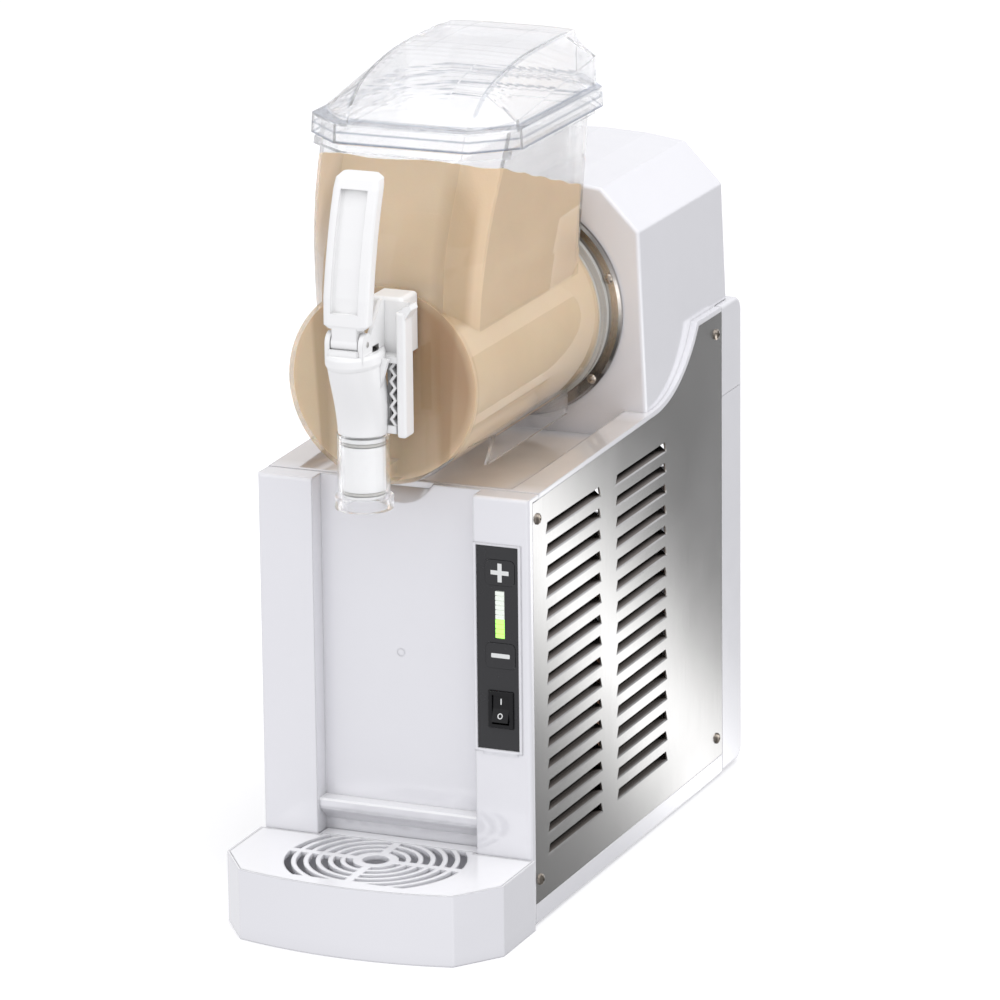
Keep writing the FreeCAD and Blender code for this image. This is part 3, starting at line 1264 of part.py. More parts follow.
def make_fan():
    y = back(s.fan_y)
    z = s.fan_z
    plate = box("shroud_plate", (-60, 60), (y + 6, y + 8), (z - 60, z + 60))
    duct = ring("shroud_duct", s.fan_radius + 1.5, s.fan_radius + 3.5, (0, y - 6, z), 13)
    throat = rod("shroud_throat", s.fan_radius + 1.5, (0, y - 8, z), 20, "y")
    feet = box("shroud_feet", (-60, 60), (y + 6, y + 20), (s.base_top + 1.9, s.base_top + 3.9))
    rise = box("shroud_rise", (-60, 60), (y + 6, y + 8), (s.base_top + 1.9, z - 59))
    strut = box("shroud_strut", (-56, 56), (y - 24, y - 22), (z - 5, z + 5))
    sides = [box("strut_leg", xs, (y - 24, y + 7), (z - 5, z + 5)) for xs in
             ((-57.6, -55.7), (55.7, 57.6))]
    shell = cut("shroud_shell", fuse("shroud_fused", [plate, duct]), [throat])
    motor_hole = rod("strut_hole", 8, (0, y - 30, z), 12, "y")
    strut_cut = cut("strut_cut", strut, [motor_hole])
    node("fan_shroud", fuse("fan_shroud", [shell, feet, rise, strut_cut] + sides))
    profile = [(0, 0), (18, 0), (20, 2), (20, 19.6), (7.8, 19.6), (7.8, 23), (2.0, 23), (2.0, 36),
               (0, 36)]
    node("fan_motor", turned("fan_motor_body", profile, (0, y - 44, z), "y"))
    hub = ring("fan_hub", 2.06, 11, (0, y - 16, z), 16)
    blades = []
    for index in range(5):
        blade = box("fan_blade_{}".format(index), (8, s.fan_radius - 1.5), (-1, 1), (-13, 13))
        blade_turn = Rotation(Vector(0, 1, 0), 72 * index)
        pitch = Rotation(Vector(1, 0, 0), 28)
        corner = blade_turn.multVec(Vector(8, 0, 0) + pitch.multVec(Vector(0, -1, -13)))
        blade.Placement = Placement(Vector(), blade_turn.multiply(pitch))
        place(blade, corner.x, y - 8 + corner.y, z + corner.z)
        blades.append(blade)
    spindle = rod("fan_spindle", 2.06, (0, y - 30, z), 40, "y")
    node("fan_blade", cut("fan_blade", fuse("fan_rotor", [hub] + blades), [spindle]))


def make_condenser():
    y = back(s.fan_y + 14)
    low = s.base_top + 4.1
    fins = []
    for index in range(26):
        x = -58.5 + 4.5 * index
        fins.append(box("fin_{}".format(index), (x, x + 0.8), (y, y + 24), (low, 158)))
    frame = [box("core_low", (-60.5, 57), (y, y + 24), (low, low + 1.5)),
             box("core_high", (-60.5, 57), (y, y + 24), (156.5, 158))]
    tubes = []
    rows = 7
    for row in range(rows):
        z = low + 12 + 20 * size(row)
        tubes.append(rod("condenser_tube_{}".format(row), 3.2, (-63, y + 12, z), 124, "x"))
    holes = [rod("core_hole_{}".format(row), 3.25, (-66, y + 12, low + 12 + 20 * size(row)), 130,
                 "x") for row in range(rows)]
    node("condenser_core", cut("condenser_core", fuse("core_fins", fins + frame), holes))
    bends = []
    for row in range(rows - 1):
        z = low + 22 + 20 * size(row)
        x = 61 if row % 2 == 0 else -63
        loop = torus("bend_{}".format(row), 10, 3.2, (x, y + 12, z), "y")
        keep = box("bend_keep_{}".format(row), (x, x + 20) if row % 2 == 0 else (x - 20, x),
                   (y, y + 24), (z - 20, z + 20))
        bends.append(common("bend_half_{}".format(row), loop, keep))
    node("condenser_tubes", fuse("condenser_tubes", tubes + bends))


def make_refrigeration():
    r = s.compressor_radius
    y = back(80)
    low = s.base_top + 1.7
    profile = [(0, 6), (r - 12, 6), (r - 2, 12), (r, 22), (r, 74), (r + 2, 74), (r + 2, 78),
               (r, 78), (r, 104), (r - 8, 120), (r - 22, 127), (0, 129)]
    dome = turned("compressor_can", profile, (0, y, low))
    feet = box("compressor_feet", (-58, 58), (y - 40, y + 40), (low + 8, low + 11))
    shell = fuse("compressor_fused", [dome, feet])
    holes = []
    mounts = []
    for x in (-51, 51):
        for dy in (-33, 33):
            holes.append(rod("foot_hole", 4.2, (x, y + dy, low), 20))
            profile = [(0, 0), (8, 0), (8, 7.8), (4, 7.8), (4, 11.2), (6, 11.2), (6, 14), (0, 14)]
            mounts.append(turned("grommet", profile, (x, y + dy, low)))
    node("compressor", cut("compressor", shell, holes))
    node("compressor_mounts", group("compressor_mounts", mounts))
    node("filter_drier", turned("drier_body", [(0, 0), (3, 0), (3, 8), (9, 14), (9, 62), (3, 68),
                                               (3, 76), (0, 76)],
                                (62, back(150), 40)))
    top = low + 129
    node("suction_line", pipe("suction_line",
                              [(20, y, top - 3.5), (20, y, top + 40), (20, back(150), top + 58),
                               (20, back(202), top + 58), (20, back(202), s.axis_height - 42)],
                              10, 4))
    node("discharge_line", pipe("discharge_line",
                                [(-20, y, top - 3.5), (-20, y, top + 22),
                                 (-58, back(120), top + 22), (-58, back(252), top + 22),
                                 (-58, back(272), 163)],
                                8, 3))


def make_electrics():
    board = box("board_plate", (52.5, 75), (back(11.6), back(13.2)), (142, 222))
    node("control_board", board)
    supply = box("supply_case", (-74, -60), (back(120), back(180)), (s.base_top + 2, 110))
    supply_round = rounded("supply_round", supply, 3.0,
                           lambda edge, middle: runs_along(edge, Vector(0, 0, 1)))
    node("power_supply", supply_round)
    y = back(s.body_depth)
    x = s.inlet_x
    z = s.inlet_z
    case = box("inlet_case", (x - 13.6, x + 13.6), (y - 24, y - 0.4), (z - 10.1, z + 10.1))
    recess = box("inlet_recess", (x - 11.4, x + 11.4), (y - 19, y + 5), (z - 7.9, z + 7.9))
    blades = []
    for dx, dz in ((-7, -1.5), (7, -1.5), (0, 2.5)):
        blades.append(box("inlet_blade", (x + dx - 1, x + dx + 1), (y - 20, y - 8),
                          (z + dz - 2, z + dz + 2)))
    node("power_inlet", fuse("power_inlet", [cut("inlet_shell", case, [recess])] + blades))


make_base_pan()
make_feet()
make_chassis()
make_bulkhead()
make_front_cover()
make_top_cover()
make_side_panel("side_panel_right", 1)
make_side_panel("side_panel_left", -1)
make_panel_screws()
make_rear_covers()
make_controls()
make_drum()
make_auger()
make_bowl()
make_lid()
make_tap_body()
make_plunger()
make_handle()
make_drip_tray()
make_drip_grid()
make_drive()
make_fan()
make_condenser()
make_refrigeration()
make_electrics()

doc.recompute()

for obj in doc.Objects:
    if "Invalid" in obj.State or "Error" in obj.State:
        raise RuntimeError("failed object: {} {}".format(obj.Name, obj.State))
for obj in nodes:
    if obj.Shape.isNull() or not obj.Shape.isValid():
        raise RuntimeError("bad shape: " + obj.Label)

os.makedirs("parts", exist_ok=True)
for obj in nodes:
    obj.Shape.exportStep("parts/{}.step".format(obj.Label))
    print("{:24s} solids {:3d} volume {:10.1f}".format(obj.Label, len(obj.Shape.Solids),
                                                        obj.Shape.Volume))
print(len(nodes), "nodes")
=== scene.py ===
import json
import math
import random

import bmesh
import bpy
from mathutils import Matrix, Vector


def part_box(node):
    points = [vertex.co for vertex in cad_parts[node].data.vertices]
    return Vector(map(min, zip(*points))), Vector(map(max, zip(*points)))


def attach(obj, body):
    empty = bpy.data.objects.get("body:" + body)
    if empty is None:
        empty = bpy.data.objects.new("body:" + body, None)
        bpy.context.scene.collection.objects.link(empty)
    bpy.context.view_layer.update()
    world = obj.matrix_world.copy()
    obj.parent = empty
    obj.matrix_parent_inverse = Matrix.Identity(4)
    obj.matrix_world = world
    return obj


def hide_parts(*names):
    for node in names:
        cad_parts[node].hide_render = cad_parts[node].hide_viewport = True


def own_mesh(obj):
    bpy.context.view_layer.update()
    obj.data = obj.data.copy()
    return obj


# Looks of the slush machine: materials of the CAD nodes, the slush in the bowl, the printed signs
# and the studio round it.  Metres, +Z up, -Y towards the person serving.

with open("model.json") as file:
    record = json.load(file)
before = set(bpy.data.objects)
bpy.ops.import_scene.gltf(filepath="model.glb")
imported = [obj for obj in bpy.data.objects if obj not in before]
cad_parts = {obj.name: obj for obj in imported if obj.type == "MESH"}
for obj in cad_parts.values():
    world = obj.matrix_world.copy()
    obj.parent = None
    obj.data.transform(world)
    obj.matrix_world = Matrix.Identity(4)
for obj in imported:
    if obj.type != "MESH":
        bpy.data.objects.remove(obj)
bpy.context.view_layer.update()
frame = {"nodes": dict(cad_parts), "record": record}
nodes = frame["nodes"]
MM = 0.001
FRONT = -125.0 * MM          # Y of the casing's front face
HALF_WIDTH = 84.5 * MM       # from the plane of symmetry to the tray's side
AXIS_Z = 312.3 * MM          # height of the drum's axis
PANEL_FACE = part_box("side_panel_right")[1].x
NOISE_LOW, NOISE_HIGH = 0.3, 0.7      # most of a noise lies between these values


def back(distance):
    """Y of a point so many millimetres behind the casing's front face."""
    return FRONT + distance * MM


# ------------------------------------------------------------------ material helpers


class Nodes:
    """A material's node tree with short calls for the nodes used here."""

    def __init__(self, name):
        self.material = bpy.data.materials.new(name)
        self.material.use_nodes = True
        self.tree = self.material.node_tree
        self.tree.nodes.clear()
        self.out = self.tree.nodes.new("ShaderNodeOutputMaterial")
        self.shader = self.tree.nodes.new("ShaderNodeBsdfPrincipled")
        self.link(self.shader.outputs[0], self.out.inputs["Surface"])
        self.coords = self.tree.nodes.new("ShaderNodeTexCoord")

    def link(self, a, b):
        self.tree.links.new(a, b)

    def feed(self, socket, value):
        """Links an output to the socket, or sets the socket to a plain value."""
        if isinstance(value, (int, float, tuple)):
            socket.default_value = value
        else:
            self.link(value, socket)

    def set(self, **values):
        """Constants of the shader, by socket name with _ for a space."""
        for name, value in values.items():
            self.shader.inputs[name.replace("_", " ")].default_value = value

    def mapped(self, scale):
        """The point's coordinates, scaled along each axis."""
        node = self.tree.nodes.new("ShaderNodeMapping")
        node.inputs["Scale"].default_value = scale
        self.link(self.coords.outputs["Object"], node.inputs["Vector"])
        return node.outputs[0]

    def noise(self, scale, detail=3.0, rough=0.5, stretch=(1, 1, 1)):
        node = self.tree.nodes.new("ShaderNodeTexNoise")
        node.inputs["Scale"].default_value = scale
        node.inputs["Detail"].default_value = detail
        node.inputs["Roughness"].default_value = rough
        self.link(self.mapped(stretch), node.inputs["Vector"])
        return node.outputs["Fac"]

    def ramp(self, factor, stops):
        """Turns a factor into a colour, from (place, colour) stops."""
        node = self.tree.nodes.new("ShaderNodeValToRGB")
        elements = node.color_ramp.elements
        while len(elements) > 1:
            elements.remove(elements[-1])
        elements[0].position, elements[0].color = stops[0]
        for position, color in stops[1:]:
            element = elements.new(position)
            element.color = color
        self.link(factor, node.inputs["Fac"])
        return node.outputs["Color"]

    def coloured(self, noise, first, second):
        """Turns a noise into a colour between two others."""
        return self.ramp(noise, [(NOISE_LOW, first), (NOISE_HIGH, second)])

    def axis(self, name):
        """One coordinate of the point, in metres."""
        node = self.tree.nodes.new("ShaderNodeSeparateXYZ")
        self.link(self.coords.outputs["Object"], node.inputs[0])
        return node.outputs[name]

    def math(self, operation, first, second=0.0):
        """A Math node; each value is a number or another node's output."""
        node = self.tree.nodes.new("ShaderNodeMath")
        node.operation = operation
        self.feed(node.inputs[0], first)
        self.feed(node.inputs[1], second)
        return node.outputs[0]

    def product(self, *factors):
        """All the factors multiplied."""
        result = factors[0]
        for factor in factors[1:]:
            result = self.math("MULTIPLY", result, factor)
        return result

    def side(self):
        """The point's distance from the plane of symmetry, in metres."""
        return self.math("ABSOLUTE", self.axis("X"))

    def above_axis(self):
        """The point's height over the drum's axis, in metres."""
        return self.math("SUBTRACT", self.axis("Z"), AXIS_Z)

    def within(self, name, low, high, soft):
        """1 between two places along an axis, 0 beyond them, with soft ends."""
        middle, half = (low + high) / 2, (high - low) / 2
        away = self.math("ABSOLUTE", self.math("SUBTRACT", self.axis(name), middle))
        return self.spread(away, half + soft, half - soft)

    def spread(self, factor, low, high):
        """0 at the low value, 1 at the high one, clamped beyond."""
        node = self.tree.nodes.new("ShaderNodeMapRange")
        node.inputs["From Min"].default_value = low
        node.inputs["From Max"].default_value = high
        self.link(factor, node.inputs["Value"])
        return node.outputs[0]

    def blended(self, factor, first, second, mode="MIX"):
        """A colour between two others; each is a colour or another node's output."""
        node = self.tree.nodes.new("ShaderNodeMix")
        node.data_type = "RGBA"
        node.blend_type = mode
        self.feed(node.inputs["Factor"], factor)
        # sockets 6 and 7 are the two colours, and output 2 is the mixed one
        self.feed(node.inputs[6], first)
        self.feed(node.inputs[7], second)
        return node.outputs[2]

    def span(self, noise, low, high):
        """Turns a noise into a number between low and high."""
        node = self.tree.nodes.new("ShaderNodeMapRange")
        node.inputs["From Min"].default_value = NOISE_LOW
        node.inputs["From Max"].default_value = NOISE_HIGH
        node.inputs["To Min"].default_value = low
        node.inputs["To Max"].default_value = high
        self.link(noise, node.inputs["Value"])
        return node.outputs[0]

    def bump(self, height, strength, distance):
        """Roughens the surface, on top of any softened edges."""
        node = self.tree.nodes.new("ShaderNodeBump")
        node.inputs["Strength"].default_value = strength
        node.inputs["Distance"].default_value = distance
        self.link(height, node.inputs["Height"])
        normal = self.shader.inputs["Normal"]
        if normal.is_linked:
            self.link(normal.links[0].from_socket, node.inputs["Normal"])
        self.link(node.outputs[0], normal)

    def soften(self, radius):
        """Rounds the look of the moulded edges."""
        node = self.tree.nodes.new("ShaderNodeBevel")
        node.samples = 4
        node.inputs["Radius"].default_value = radius
        self.link(node.outputs[0], self.shader.inputs["Normal"])
        self.link(node.outputs[0], self.shader.inputs["Coat Normal"])

    def colour(self, socket):
        self.link(socket, self.shader.inputs["Base Color"])

    def roughness(self, socket):
        self.link(socket, self.shader.inputs["Roughness"])


def rgb(red, green, blue):
    return (red, green, blue, 1.0)


def shade(color, factor):
    return tuple(min(1.0, channel * factor) for channel in color[:3]) + (1.0,)


def moulded(name, color, rough, vary=0.03, peel=0.05, coat=0.0, shadowed=None, toned=None,
            nook=0.0, soft_edge=0.0, **extra):
    """Moulded plastic: faint tone drift, a fine skin texture and slightly uneven gloss; it can also
    take painted shade in inner corners and painted light and shade by place.
    """
    m = Nodes(name)
    tone = m.coloured(m.noise(9.0, 4.0), shade(color, 1 - vary), shade(color, 1 + vary))
    if nook:
        # painted shade: inner corners are darkened in the colour, as the light that bounces in them is
        # dimmer
        corner = m.tree.nodes.new("ShaderNodeAmbientOcclusion")
        corner.samples = 8
        corner.inputs["Distance"].default_value = nook
        tone = m.blended(m.spread(corner.outputs["AO"], 0.6, 0.1), tone, shade(color, 0.66))
    # painted light and shade by place, where a function for it is given
    if toned:
        tone = toned(m, tone)
    if shadowed:
        # painted shadow: the masked places turn near black
        tone = m.blended(shadowed(m), tone, rgb(0.012, 0.011, 0.01))
    m.colour(tone)
    m.roughness(m.span(m.noise(60.0, 5.0), *rough))
    if soft_edge:
        m.soften(soft_edge)
    m.bump(m.noise(900.0, 2.0), peel, 0.4 * MM)
    m.set(Coat_Weight=coat, Coat_Roughness=0.07, Coat_IOR=1.6, IOR=1.5)
    m.set(**extra)
    return m.material


def brushed(name, color, rough, strength=0.05, stretch=(1, 1, 1)):
    """Bare metal with a fine grain; a stretch above 1 squeezes the grain along that axis."""
    m = Nodes(name)
    grain = m.noise(260.0, 4.0, 0.6, stretch)
    m.colour(m.ramp(grain, [(0.25, shade(color, 0.93)), (0.75, shade(color, 1.06))]))
    m.roughness(m.span(m.noise(14.0, 4.0), *rough))
    m.bump(grain, strength, 0.2 * MM)
    m.set(Metallic=1.0)
    return m.material


def painted(name, color, rough, metallic=0.0, grain=700.0, strength=0.12):
    """Paint, rubber or a cast skin: cloudy tone and a fine bump."""
    m = Nodes(name)
    m.colour(m.coloured(m.noise(25.0, 5.0), shade(color, 0.85), shade(color, 1.1)))
    m.roughness(m.span(m.noise(90.0, 4.0), *rough))
    m.bump(m.noise(grain, 3.0), strength, 0.3 * MM)
    m.set(Metallic=metallic)
    return m.material


def clear(name, edge, ior, alpha, lines=None):
    """Clear moulded plastic with a barely wavy skin; its tint is painted darker where the wall is seen
    edge-on, as painted shade along its edges.
    """
    m = Nodes(name)
    grazing = m.tree.nodes.new("ShaderNodeLayerWeight")
    grazing.inputs["Blend"].default_value = 0.4
    body = m.coloured(m.noise(12.0, 3.0), shade(CLEAR_TINT, 0.985), CLEAR_TINT)
    # painted shade: the tint turns to the edge colour where the wall is seen edge-on
    tone = m.blended(m.spread(grazing.outputs["Facing"], 0.8, 0.98), body, edge)
    if lines:
        tone = m.blended(lines(m), tone, edge)
    m.colour(tone)
    m.roughness(m.span(m.noise(40.0, 3.0), 0.009, 0.021))
    m.bump(m.noise(70.0, 2.0), 0.02, 0.6 * MM)
    m.set(Transmission_Weight=1.0, IOR=ior, Alpha=alpha)
    m.set(Coat_Weight=1.0, Coat_Roughness=0.02, Coat_IOR=1.5)
    return m.material


def glowing(name, color, glow, strength):
    """A lit display field with a faint ribbed tone."""
    m = Nodes(name)
    m.colour(m.coloured(m.noise(1200.0, 2.0), shade(color, 0.92), color))
    m.set(Emission_Color=glow, Emission_Strength=strength, Roughness=0.35)
    return m.material


def louvred_panel(name, color, inside):
    """Satin sheet steel; the louvre blades take painted shade, darker as they run inwards behind the
    sheet.
    """
    m = Nodes(name)
    grain = m.noise(60.0, 4.0, 0.6, (1, 20, 0.5))
    steel = m.coloured(grain, shade(color, 0.97), shade(color, 1.03))
    behind_sheet, blade_end = PANEL_FACE - 0.6 * MM, PANEL_FACE - 3.4 * MM
    # painted shade on the louvre blades, deeper the further they sit behind the sheet
    depth = m.spread(m.side(), behind_sheet, blade_end)
    dark = m.ramp(depth, [(0.0, rgb(0.3, 0.27, 0.25)), (0.5, inside), (1.0, shade(inside, 0.25))])
    on_blade = m.ramp(depth, [(0.0, rgb(0, 0, 0)), (0.12, rgb(1, 1, 1))])
    m.colour(m.blended(on_blade, steel, dark))
    m.roughness(m.span(m.noise(14.0, 4.0), 0.2, 0.26))
    m.set(Metallic=1.0)
    return m.material


def ring_steel_painted_reflections(name):
    """A polished ring round the drum: painted reflections turn its tone from dark to bright in soft
    radial bands.
    """
    m = Nodes(name)
    angle = m.math("ARCTAN2", m.axis("X"), m.above_axis())
    steel = m.ramp(m.spread(angle, -math.pi, math.pi),
                   [(at, rgb(v, 0.94 * v, 0.88 * v)) for at, v in RING_PAINTED_REFLECTIONS])
    grain = m.coloured(m.noise(500.0, 3.0), rgb(0.9, 0.9, 0.9), rgb(1, 1, 1))
    m.colour(m.blended(1.0, steel, grain, "MULTIPLY"))
    m.roughness(m.span(m.noise(30.0, 3.0), 0.12, 0.22))
    m.set(Metallic=1.0)
    return m.material


def lid_painted_edge_lines(m):
    """Painted shade: dark lines in the tint along the rim's moulded edges and the dome's two long
    creases.
    """
    edges = 0.0
    for low, high in LID_EDGES:
        edges = m.math("MAXIMUM", edges, m.within("Z", low * MM, high * MM, 0.4 * MM))
    off_crease = m.math("ABSOLUTE", m.math("SUBTRACT", m.side(), DOME_CREASE_X * MM))
    crease = m.product(m.spread(off_crease, 0.9 * MM, 0.3 * MM),
                       m.spread(m.axis("Z"), 455 * MM, 458 * MM),
                       m.spread(m.axis("Y"), back(168), back(164)))
    return m.math("MAXIMUM", edges, m.math("MULTIPLY", crease, 0.6))


def casing_painted_light(m, tone):
    """Painted light on the casing: level faces low by the tray are painted a lighter white, level deck
    faces beside the bowl take painted shade, and those under the bowl a painted warm reflection of the
    mix.
    """
    turned = m.tree.nodes.new("ShaderNodeSeparateXYZ")
    m.link(m.tree.nodes.new("ShaderNodeNewGeometry").outputs["Normal"], turned.inputs[0])
    level = m.spread(turned.outputs["Z"], 0.3, 0.7)
    low = m.spread(m.axis("Z"), 160 * MM, 120 * MM)
    # painted light: level faces low down are lighter, as if lit from above
    tone = m.blended(m.product(level, low), tone, rgb(0.97, 0.968, 0.98))
    deck = m.product(level, m.within("Z", 228 * MM, 275 * MM, 8 * MM),
                     m.within("Y", back(22), back(172), 8 * MM))
    beside = m.spread(m.side(), 50 * MM, 60 * MM)
    # painted shade on the level deck beside the bowl
    tone = m.blended(m.product(deck, beside), tone, rgb(0.70, 0.66, 0.64))
    under_bowl = m.spread(m.side(), 62 * MM, 52 * MM)
    # painted reflection: the deck and basin under the bowl take the mix's warm colour
    return m.blended(m.product(deck, under_bowl), tone, rgb(0.98, 0.875, 0.77))


def spring_painted_shadow(m):
    """Mask of painted shadow in the hollow behind the tap's spring."""
    return m.product(m.within("X", 14.5 * MM, 21 * MM, 0.3 * MM),
                     m.within("Z", 295 * MM, 334 * MM, 0.5 * MM),
                     m.within("Y", back(-32.2), back(-27.5), 0.3 * MM))


# painted reflections on the drum's ring round one turn, as (share of the turn, brightness)
RING_PAINTED_REFLECTIONS = ((0.0, 0.30), (0.12, 0.12), (0.2, 0.42), (0.3, 0.14), (0.42, 0.5), (0.5, 0.16),
              (0.58, 0.10), (0.66, 0.30), (0.72, 0.62), (0.78, 0.34), (0.85, 0.12), (0.93, 0.45),
              (1.0, 0.30))
LID_EDGES = ((450.6, 451.4), (439.2, 440.4), (445.2, 445.9))      # heights, in millimetres
DOME_CREASE_X = 38.1
CLEAR_TINT = rgb(0.985, 0.987, 0.99)
MATERIALS = {
    "white_casing": moulded("casing_white", rgb(0.85, 0.848, 0.88), (0.2, 0.27), 0.012, 0.035, 1.0,
                            toned=casing_painted_light, nook=20 * MM, soft_edge=1.6 * MM, Coat_IOR=1.9),
    "white_tap": moulded("tap_white", rgb(0.94, 0.94, 0.935), (0.3, 0.4), 0.015, 0.05, 0.3,
                         shadowed=spring_painted_shadow, nook=8 * MM, soft_edge=0.8 * MM),
    "clear_plastic": clear("bowl_clear", rgb(0.55, 0.56, 0.58), 1.16, 0.8),
    "steel_panel": louvred_panel("panel_steel", rgb(0.60, 0.595, 0.59), rgb(0.09, 0.075, 0.065)),
    "steel_part": brushed("polished_steel", rgb(0.72, 0.71, 0.69), (0.12, 0.22), 0.02),
    "screw_steel": painted("screw_steel", rgb(0.42, 0.37, 0.32), (0.16, 0.28), 1.0, 900, 0.05),
    "galvanised": painted("galvanised_sheet", rgb(0.5, 0.52, 0.53), (0.35, 0.5), 0.9, 160, 0.1),
    "black_plastic": moulded("black_plastic", rgb(0.006, 0.006, 0.007), (0.16, 0.24), 0.1, 0.05,
                             Specular_IOR_Level=0.3),
    "fascia_black": moulded("fascia_black", rgb(0.023, 0.023, 0.025), (0.2, 0.3), 0.12, 0.04),
    "led_green": glowing("led_green", rgb(0.45, 0.9, 0.2), rgb(0.42, 0.95, 0.16), 0.9),
    "led_white": glowing("led_white", rgb(0.82, 0.86, 0.8), rgb(0.8, 0.86, 0.78), 0.25),
    "dark_rubber": painted("dark_rubber", rgb(0.02, 0.02, 0.02), (0.6, 0.8)),
    "grey_rubber": painted("grey_silicone", rgb(0.62, 0.61, 0.58), (0.4, 0.55)),
    "copper": brushed("copper_tube", rgb(0.72, 0.4, 0.26), (0.22, 0.4)),
    "compressor_black": painted("compressor_enamel", rgb(0.014, 0.014, 0.016), (0.25, 0.4)),
    "fin_aluminium": brushed("fin_aluminium", rgb(0.7, 0.71, 0.72), (0.3, 0.45), stretch=(1, 1, 8)),
    "gear_grey": painted("gear_grey", rgb(0.16, 0.17, 0.18), (0.4, 0.55), 0.3),
    "board_green": painted("board_green", rgb(0.02, 0.12, 0.05), (0.3, 0.45)),
    "brass_part": brushed("brass_part", rgb(0.7, 0.55, 0.28), (0.25, 0.4)),
}

# pieces whose material differs from the rest of their slot: the lid, with its painted edge lines, and
# the drum's ring, with its painted reflections
SPECIAL = {
    "lid": clear("lid_clear", rgb(0.22, 0.26, 0.34), 1.2, 0.85, lines=lid_painted_edge_lines),
    "drum_flange": ring_steel_painted_reflections("ring_steel_painted_reflections"),
}

for entry in frame["record"]["subparts"]:
    obj = nodes[entry["node"]]
    material = SPECIAL.get(entry["node"]) or MATERIALS[entry["material_slot"]]
    obj.data.materials.clear()
    obj.data.materials.append(material)
    # lamps reach the slush through the clear mouldings
    obj.visible_shadow = entry["material_slot"] != "clear_plastic"


# ------------------------------------------------------------------ mesh helpers


def rings_mesh(rings, cap_ends=True):
    """Vertices and faces of a tube through closed rings with equal numbers of points."""
    count = len(rings[0])
    verts = [point for ring in rings for point in ring]
    faces = []
    for level in range(len(rings) - 1):
        for index in range(count):
            following = (index + 1) % count
            low = level * count
            high = low + count
            faces.append((low + index, low + following, high + following, high + index))
    if cap_ends:
        faces.append(tuple(reversed(range(count))))
        top = (len(rings) - 1) * count
        faces.append(tuple(range(top, top + count)))
    return verts, faces


def apply_modifiers(obj):
    bpy.context.view_layer.update()
    graph = bpy.context.evaluated_depsgraph_get()
    mesh = bpy.data.meshes.new_from_object(obj.evaluated_get(graph))
    obj.modifiers.clear()
    old = obj.data
    obj.data = mesh
    bpy.data.meshes.remove(old)


def loose_object(name, verts, faces):
    """A closed mesh with its normals facing out, in the scene but on no body yet."""
    mesh = bpy.data.meshes.new(name)
    mesh.from_pydata([tuple(v) for v in verts], [], faces)
    mesh.update()
    bm = bmesh.new()
    bm.from_mesh(mesh)
    bmesh.ops.recalc_face_normals(bm, faces=bm.faces)
    bm.to_mesh(mesh)
    bm.free()
    obj = bpy.data.objects.new(name, mesh)
    bpy.context.scene.collection.objects.link(obj)
    return obj


def boolean(obj, tool, operation):
    """Joins the tool to the object or cuts it away, and removes the tool."""
    modifier = obj.modifiers.new("boolean", "BOOLEAN")
    modifier.operation = operation
    modifier.solver = "EXACT"
    modifier.object = tool
    apply_modifiers(obj)
    bpy.data.objects.remove(tool)


def cylinder_y(name, radius, start, stop, segments=128):
    """A closed cylinder round the drum's axis, between two distances behind the front face."""
    rings = []
    for y in (start, stop):
        ring = []
        for index in range(segments):
            angle = 2 * math.pi * index / segments
            ring.append(Vector((radius * math.sin(angle) * MM, back(y),
                                AXIS_Z + radius * math.cos(angle) * MM)))
        rings.append(ring)
    verts, faces = rings_mesh(rings)
    return loose_object(name, verts, faces)


def smooth_by_angle(obj, degrees):
    """Smooth shading, with an edge kept sharp where its faces turn by more than the angle."""
    mesh = obj.data
    mesh.polygons.foreach_set("use_smooth", [True] * len(mesh.polygons))
    bm = bmesh.new()
    bm.from_mesh(mesh)
    limit = math.radians(degrees)
    for edge in bm.edges:
        edge.smooth = len(edge.link_faces) == 2 and edge.calc_face_angle(0.0) <= limit
    bm.to_mesh(mesh)
    bm.free()


# ------------------------------------------------------------------ slush in the bowl

# the hopper's outline at rising heights, in millimetres: height, front wall, where the slanted
# corner meets the side, and half the width there
HOPPER_LEVELS = (
    (341.0, -8.0, 12.0, 48.5), (362.0, -8.0, 13.0, 50.3), (380.0, -6.0, 15.5, 51.8),
    (395.0, 0.0, 19.0, 53.0), (410.0, 7.5, 24.0, 54.2), (425.0, 15.5, 31.0, 55.4),
    (448.6, 27.0, 42.0, 56.8),
)
SLUSH_INSET = 2.0            # the mix wets the 3 mm wall: it starts just inside the clear skin
FRONT_HALF = 36.0            # half the width of the hopper's front wall
CORNER_INSET = 0.45          # how far a slanted corner moves along a wall as the walls move in by 1
SIDE_END, REAR_WALL = 156.0, 175.7
SLUSH_FLOOR = 300.0          # the hopper's fill reaches down into the barrel's
SLUSH_TOP, SLUSH_FALL = 434.0, 0.295      # height at the front, and its fall per millimetre behind
SLUSH_LEVEL_END = 18.0                    # the fall starts so far behind the casing's front face
AIR_TOP = 480.0 * MM
AIR_STEP = 3.0                            # spacing of the wavy sheet's points


def hopper_ring(level, inset):
    """The hopper's eight-cornered outline at one height, moved inwards by the inset."""
    z, front_wall, side_start, side_half = level
    front_half = FRONT_HALF - CORNER_INSET * inset
    side = side_half - inset
    # the rear wall leans back by 4 mm between heights 380 and 430
    rear = REAR_WALL + 4.0 * min(1.0, max(0.0, (z - 380) / 50))
    corners = [(front_half, front_wall + inset), (side, side_start + CORNER_INSET * inset),
               (side, SIDE_END - CORNER_INSET * inset), (front_half, rear - inset)]
    outline = corners + [(-x, y) for x, y in reversed(corners)]
    return [Vector((x * MM, back(y), z * MM)) for x, y in outline]


def slush_height(x, y):
    """Height of the slush over a point, in millimetres; it falls towards the hood."""
    top = SLUSH_TOP - SLUSH_FALL * max(0.0, y - SLUSH_LEVEL_END)
    top += 0.6 * math.sin(0.11 * x + 0.5) + 0.5 * math.sin(0.23 * y + 0.09 * x)
    return top


